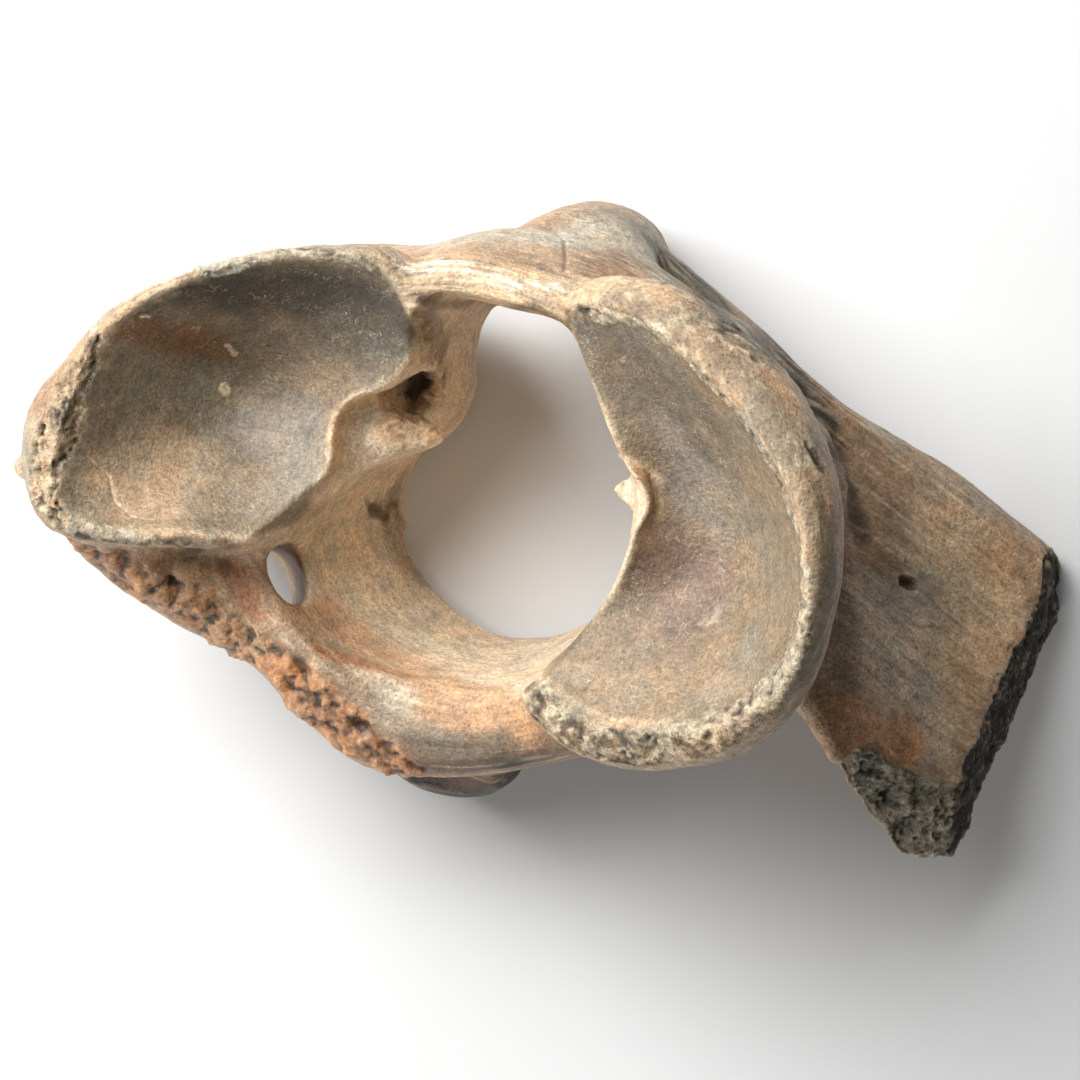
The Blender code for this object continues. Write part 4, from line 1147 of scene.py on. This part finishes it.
def grouped(group, place, amounts):
    """A node group placed in the material with its own values."""
    return add(tree, "ShaderNodeGroup", {"Place": place, **amounts}, node_tree=group).outputs


in_cup, rough_bone, grainy, flecked, polish = (carried(name) for name in MASKS)
GRAIN_STRETCH = (0.09, 1.0, 1.0)
stretched = {"Vector": carried("grain_place", "Vector"), "Scale": GRAIN_STRETCH}
along_grain = add(tree, "ShaderNodeMapping", stretched).outputs[0]

patches = grouped(speckle_group, here, {"Per metre": 170.0, "Strength": 1.0})
mottles = grouped(speckle_group, here, {"Per metre": 480.0, "Strength": 1.2})
salt = grouped(speckle_group, here, {"Per metre": 1500.0, "Strength": 2.0})
fibres = grouped(speckle_group, along_grain, {"Per metre": 1500.0, "Strength": 2.0})
dark_flecks = grouped(fleck_group, here, {"Per metre": 620.0, "Size": 0.60})["Flecks"]
pinholes = grouped(pore_group, here, {"Per metre": 620.0, "Size": 0.12})["Pores"]
hairlines = grouped(scratch_group, here, {"Per metre": 420.0, "Width": 0.010})["Scratches"]
print("patterns placed:", sum(node.type == "GROUP" for node in tree.nodes))

# %% Colour of the bone
WARM_TINT = (1.10, 0.98, 0.86, 1.0)
COOL_TINT = (0.90, 0.92, 0.91, 1.0)

colour = carried("stain_and_painted_light", "Color")
tints = noise(tree, here, 90.0, 8.0, Roughness=0.75)
warmer = colour_mix(tree, 1.0, colour, WARM_TINT, "MULTIPLY")
cooler = colour_mix(tree, 1.0, colour, COOL_TINT, "MULTIPLY")
colour = colour_mix(tree, remapped(tree, tints, 0.38, 0.62), cooler, warmer)
for pattern in (patches, mottles, salt):
    colour = colour_mix(tree, 1.0, colour, pattern["Brightness"], "MULTIPLY")
streaked = colour_mix(tree, 1.0, colour, fibres["Brightness"], "MULTIPLY")
colour = colour_mix(tree, grainy, colour, streaked)

outside_cup = reckon(tree, "SUBTRACT", 1.0, in_cup)
hole_share = reckon(tree, "MULTIPLY", pinholes, reckon(tree, "MULTIPLY_ADD", outside_cup, 0.40, 0.05))
fleck_share = reckon(tree, "MULTIPLY", dark_flecks, flecked)
line_share = reckon(tree, "MULTIPLY", hairlines, reckon(tree, "MULTIPLY_ADD", in_cup, 0.34, 0.10))
for share, paint in ((fleck_share, "umber"), (hole_share, "black brown"), (line_share, "cream")):
    colour = colour_mix(tree, share, colour, (*PAINTS[paint], 1.0))
tree.links.new(colour, shader.inputs["Base Color"])
print("colour:", len(tree.nodes), "nodes so far")

# %% Gloss and fine relief of the bone
gloss = remapped(tree, patches["Height"], -0.25, 0.25, 0.56, 0.44)
matte = reckon(tree, "MULTIPLY_ADD", rough_bone, 0.30, gloss)
tree.links.new(reckon(tree, "MULTIPLY_ADD", polish, -0.14, matte), shader.inputs["Roughness"])

relief = reckon(tree, "MULTIPLY", salt["Height"], reckon(tree, "MULTIPLY_ADD", rough_bone, 1.6, 0.8))
relief = reckon(tree, "MULTIPLY_ADD", mottles["Height"], 1.2, relief)
relief = reckon(tree, "MULTIPLY_ADD", fibres["Height"], reckon(tree, "MULTIPLY", grainy, 1.3), relief)
relief = reckon(tree, "SUBTRACT", relief, hole_share)
bump = add(tree, "ShaderNodeBump", {"Height": relief, "Strength": 0.8, "Distance": 0.40 * MM})
tree.links.new(bump.outputs["Normal"], shader.inputs["Normal"])
print("bone material:", len(tree.nodes), "nodes")

# %% Dress the fossil and put it in the frame
fossil.data.materials.clear()
fossil.data.materials.append(bone)
fossil.data.shade_smooth()
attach(fossil, "root")
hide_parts("atlas_vertebra")
print("fossil rides on root and stands for the solid")

# %% [markdown]
# Floor and light
#
# The bone lies on pale paper. One large soft lamp from the upper left draws the shapes and lets light
# under the arch, which brightens the floor at the top of the canal. A long low lamp on the near side and
# a dim room keep the shadows open.

# %% Floor
FLOOR_HALF = 2.5
PAPER_COLOUR = (0.73, 0.735, 0.73, 1.0)
floor_mesh = bpy.data.meshes.new("floor")
shape = bmesh.new()
bmesh.ops.create_grid(shape, x_segments=1, y_segments=1, size=FLOOR_HALF)
shape.to_mesh(floor_mesh)
shape.free()
floor = bpy.data.objects.new("floor", floor_mesh)
bpy.context.scene.collection.objects.link(floor)
paper = bpy.data.materials.new("pale_floor")
paper.use_nodes = True
paper_shader = paper.node_tree.nodes["Principled BSDF"]
paper_shader.inputs["Base Color"].default_value = PAPER_COLOUR
paper_shader.inputs["Roughness"].default_value = 0.9
floor_mesh.materials.append(paper)

# %% Lights
AIM = Vector((0.0, 0.0, 0.03))


def soft_lamp(name, compass, climb, distance, width, length, watts):
    """A rectangular lamp aimed at the bone: compass in degrees from +Y towards -X, climb in degrees up."""
    turn, tilt = math.radians(compass), math.radians(climb)
    way_out = Vector((-math.sin(turn) * math.cos(tilt), math.cos(turn) * math.cos(tilt), math.sin(tilt)))
    lamp_data = bpy.data.lights.new(name, "AREA")
    lamp_data.shape = "RECTANGLE"
    lamp_data.size = width
    lamp_data.size_y = length
    lamp_data.energy = watts
    lamp = bpy.data.objects.new(name, lamp_data)
    lamp.location = way_out * distance
    lamp.rotation_euler = (AIM - lamp.location).to_track_quat("-Z", "Y").to_euler()
    bpy.context.scene.collection.objects.link(lamp)


soft_lamp("large_soft_lamp", compass=45, climb=47, distance=0.75, width=0.58, length=0.58, watts=12.0)
soft_lamp("long_low_lamp", compass=140, climb=13, distance=0.85, width=1.10, length=0.25, watts=4.5)

ROOM_STRENGTH = 0.13
world = bpy.data.worlds.new("dim_room")
world.use_nodes = True
room = world.node_tree.nodes["Background"].inputs
room["Color"].default_value = (1.0, 1.0, 1.0, 1.0)
room["Strength"].default_value = ROOM_STRENGTH
bpy.context.scene.world = world
bpy.context.scene.view_settings.view_transform = "Standard"
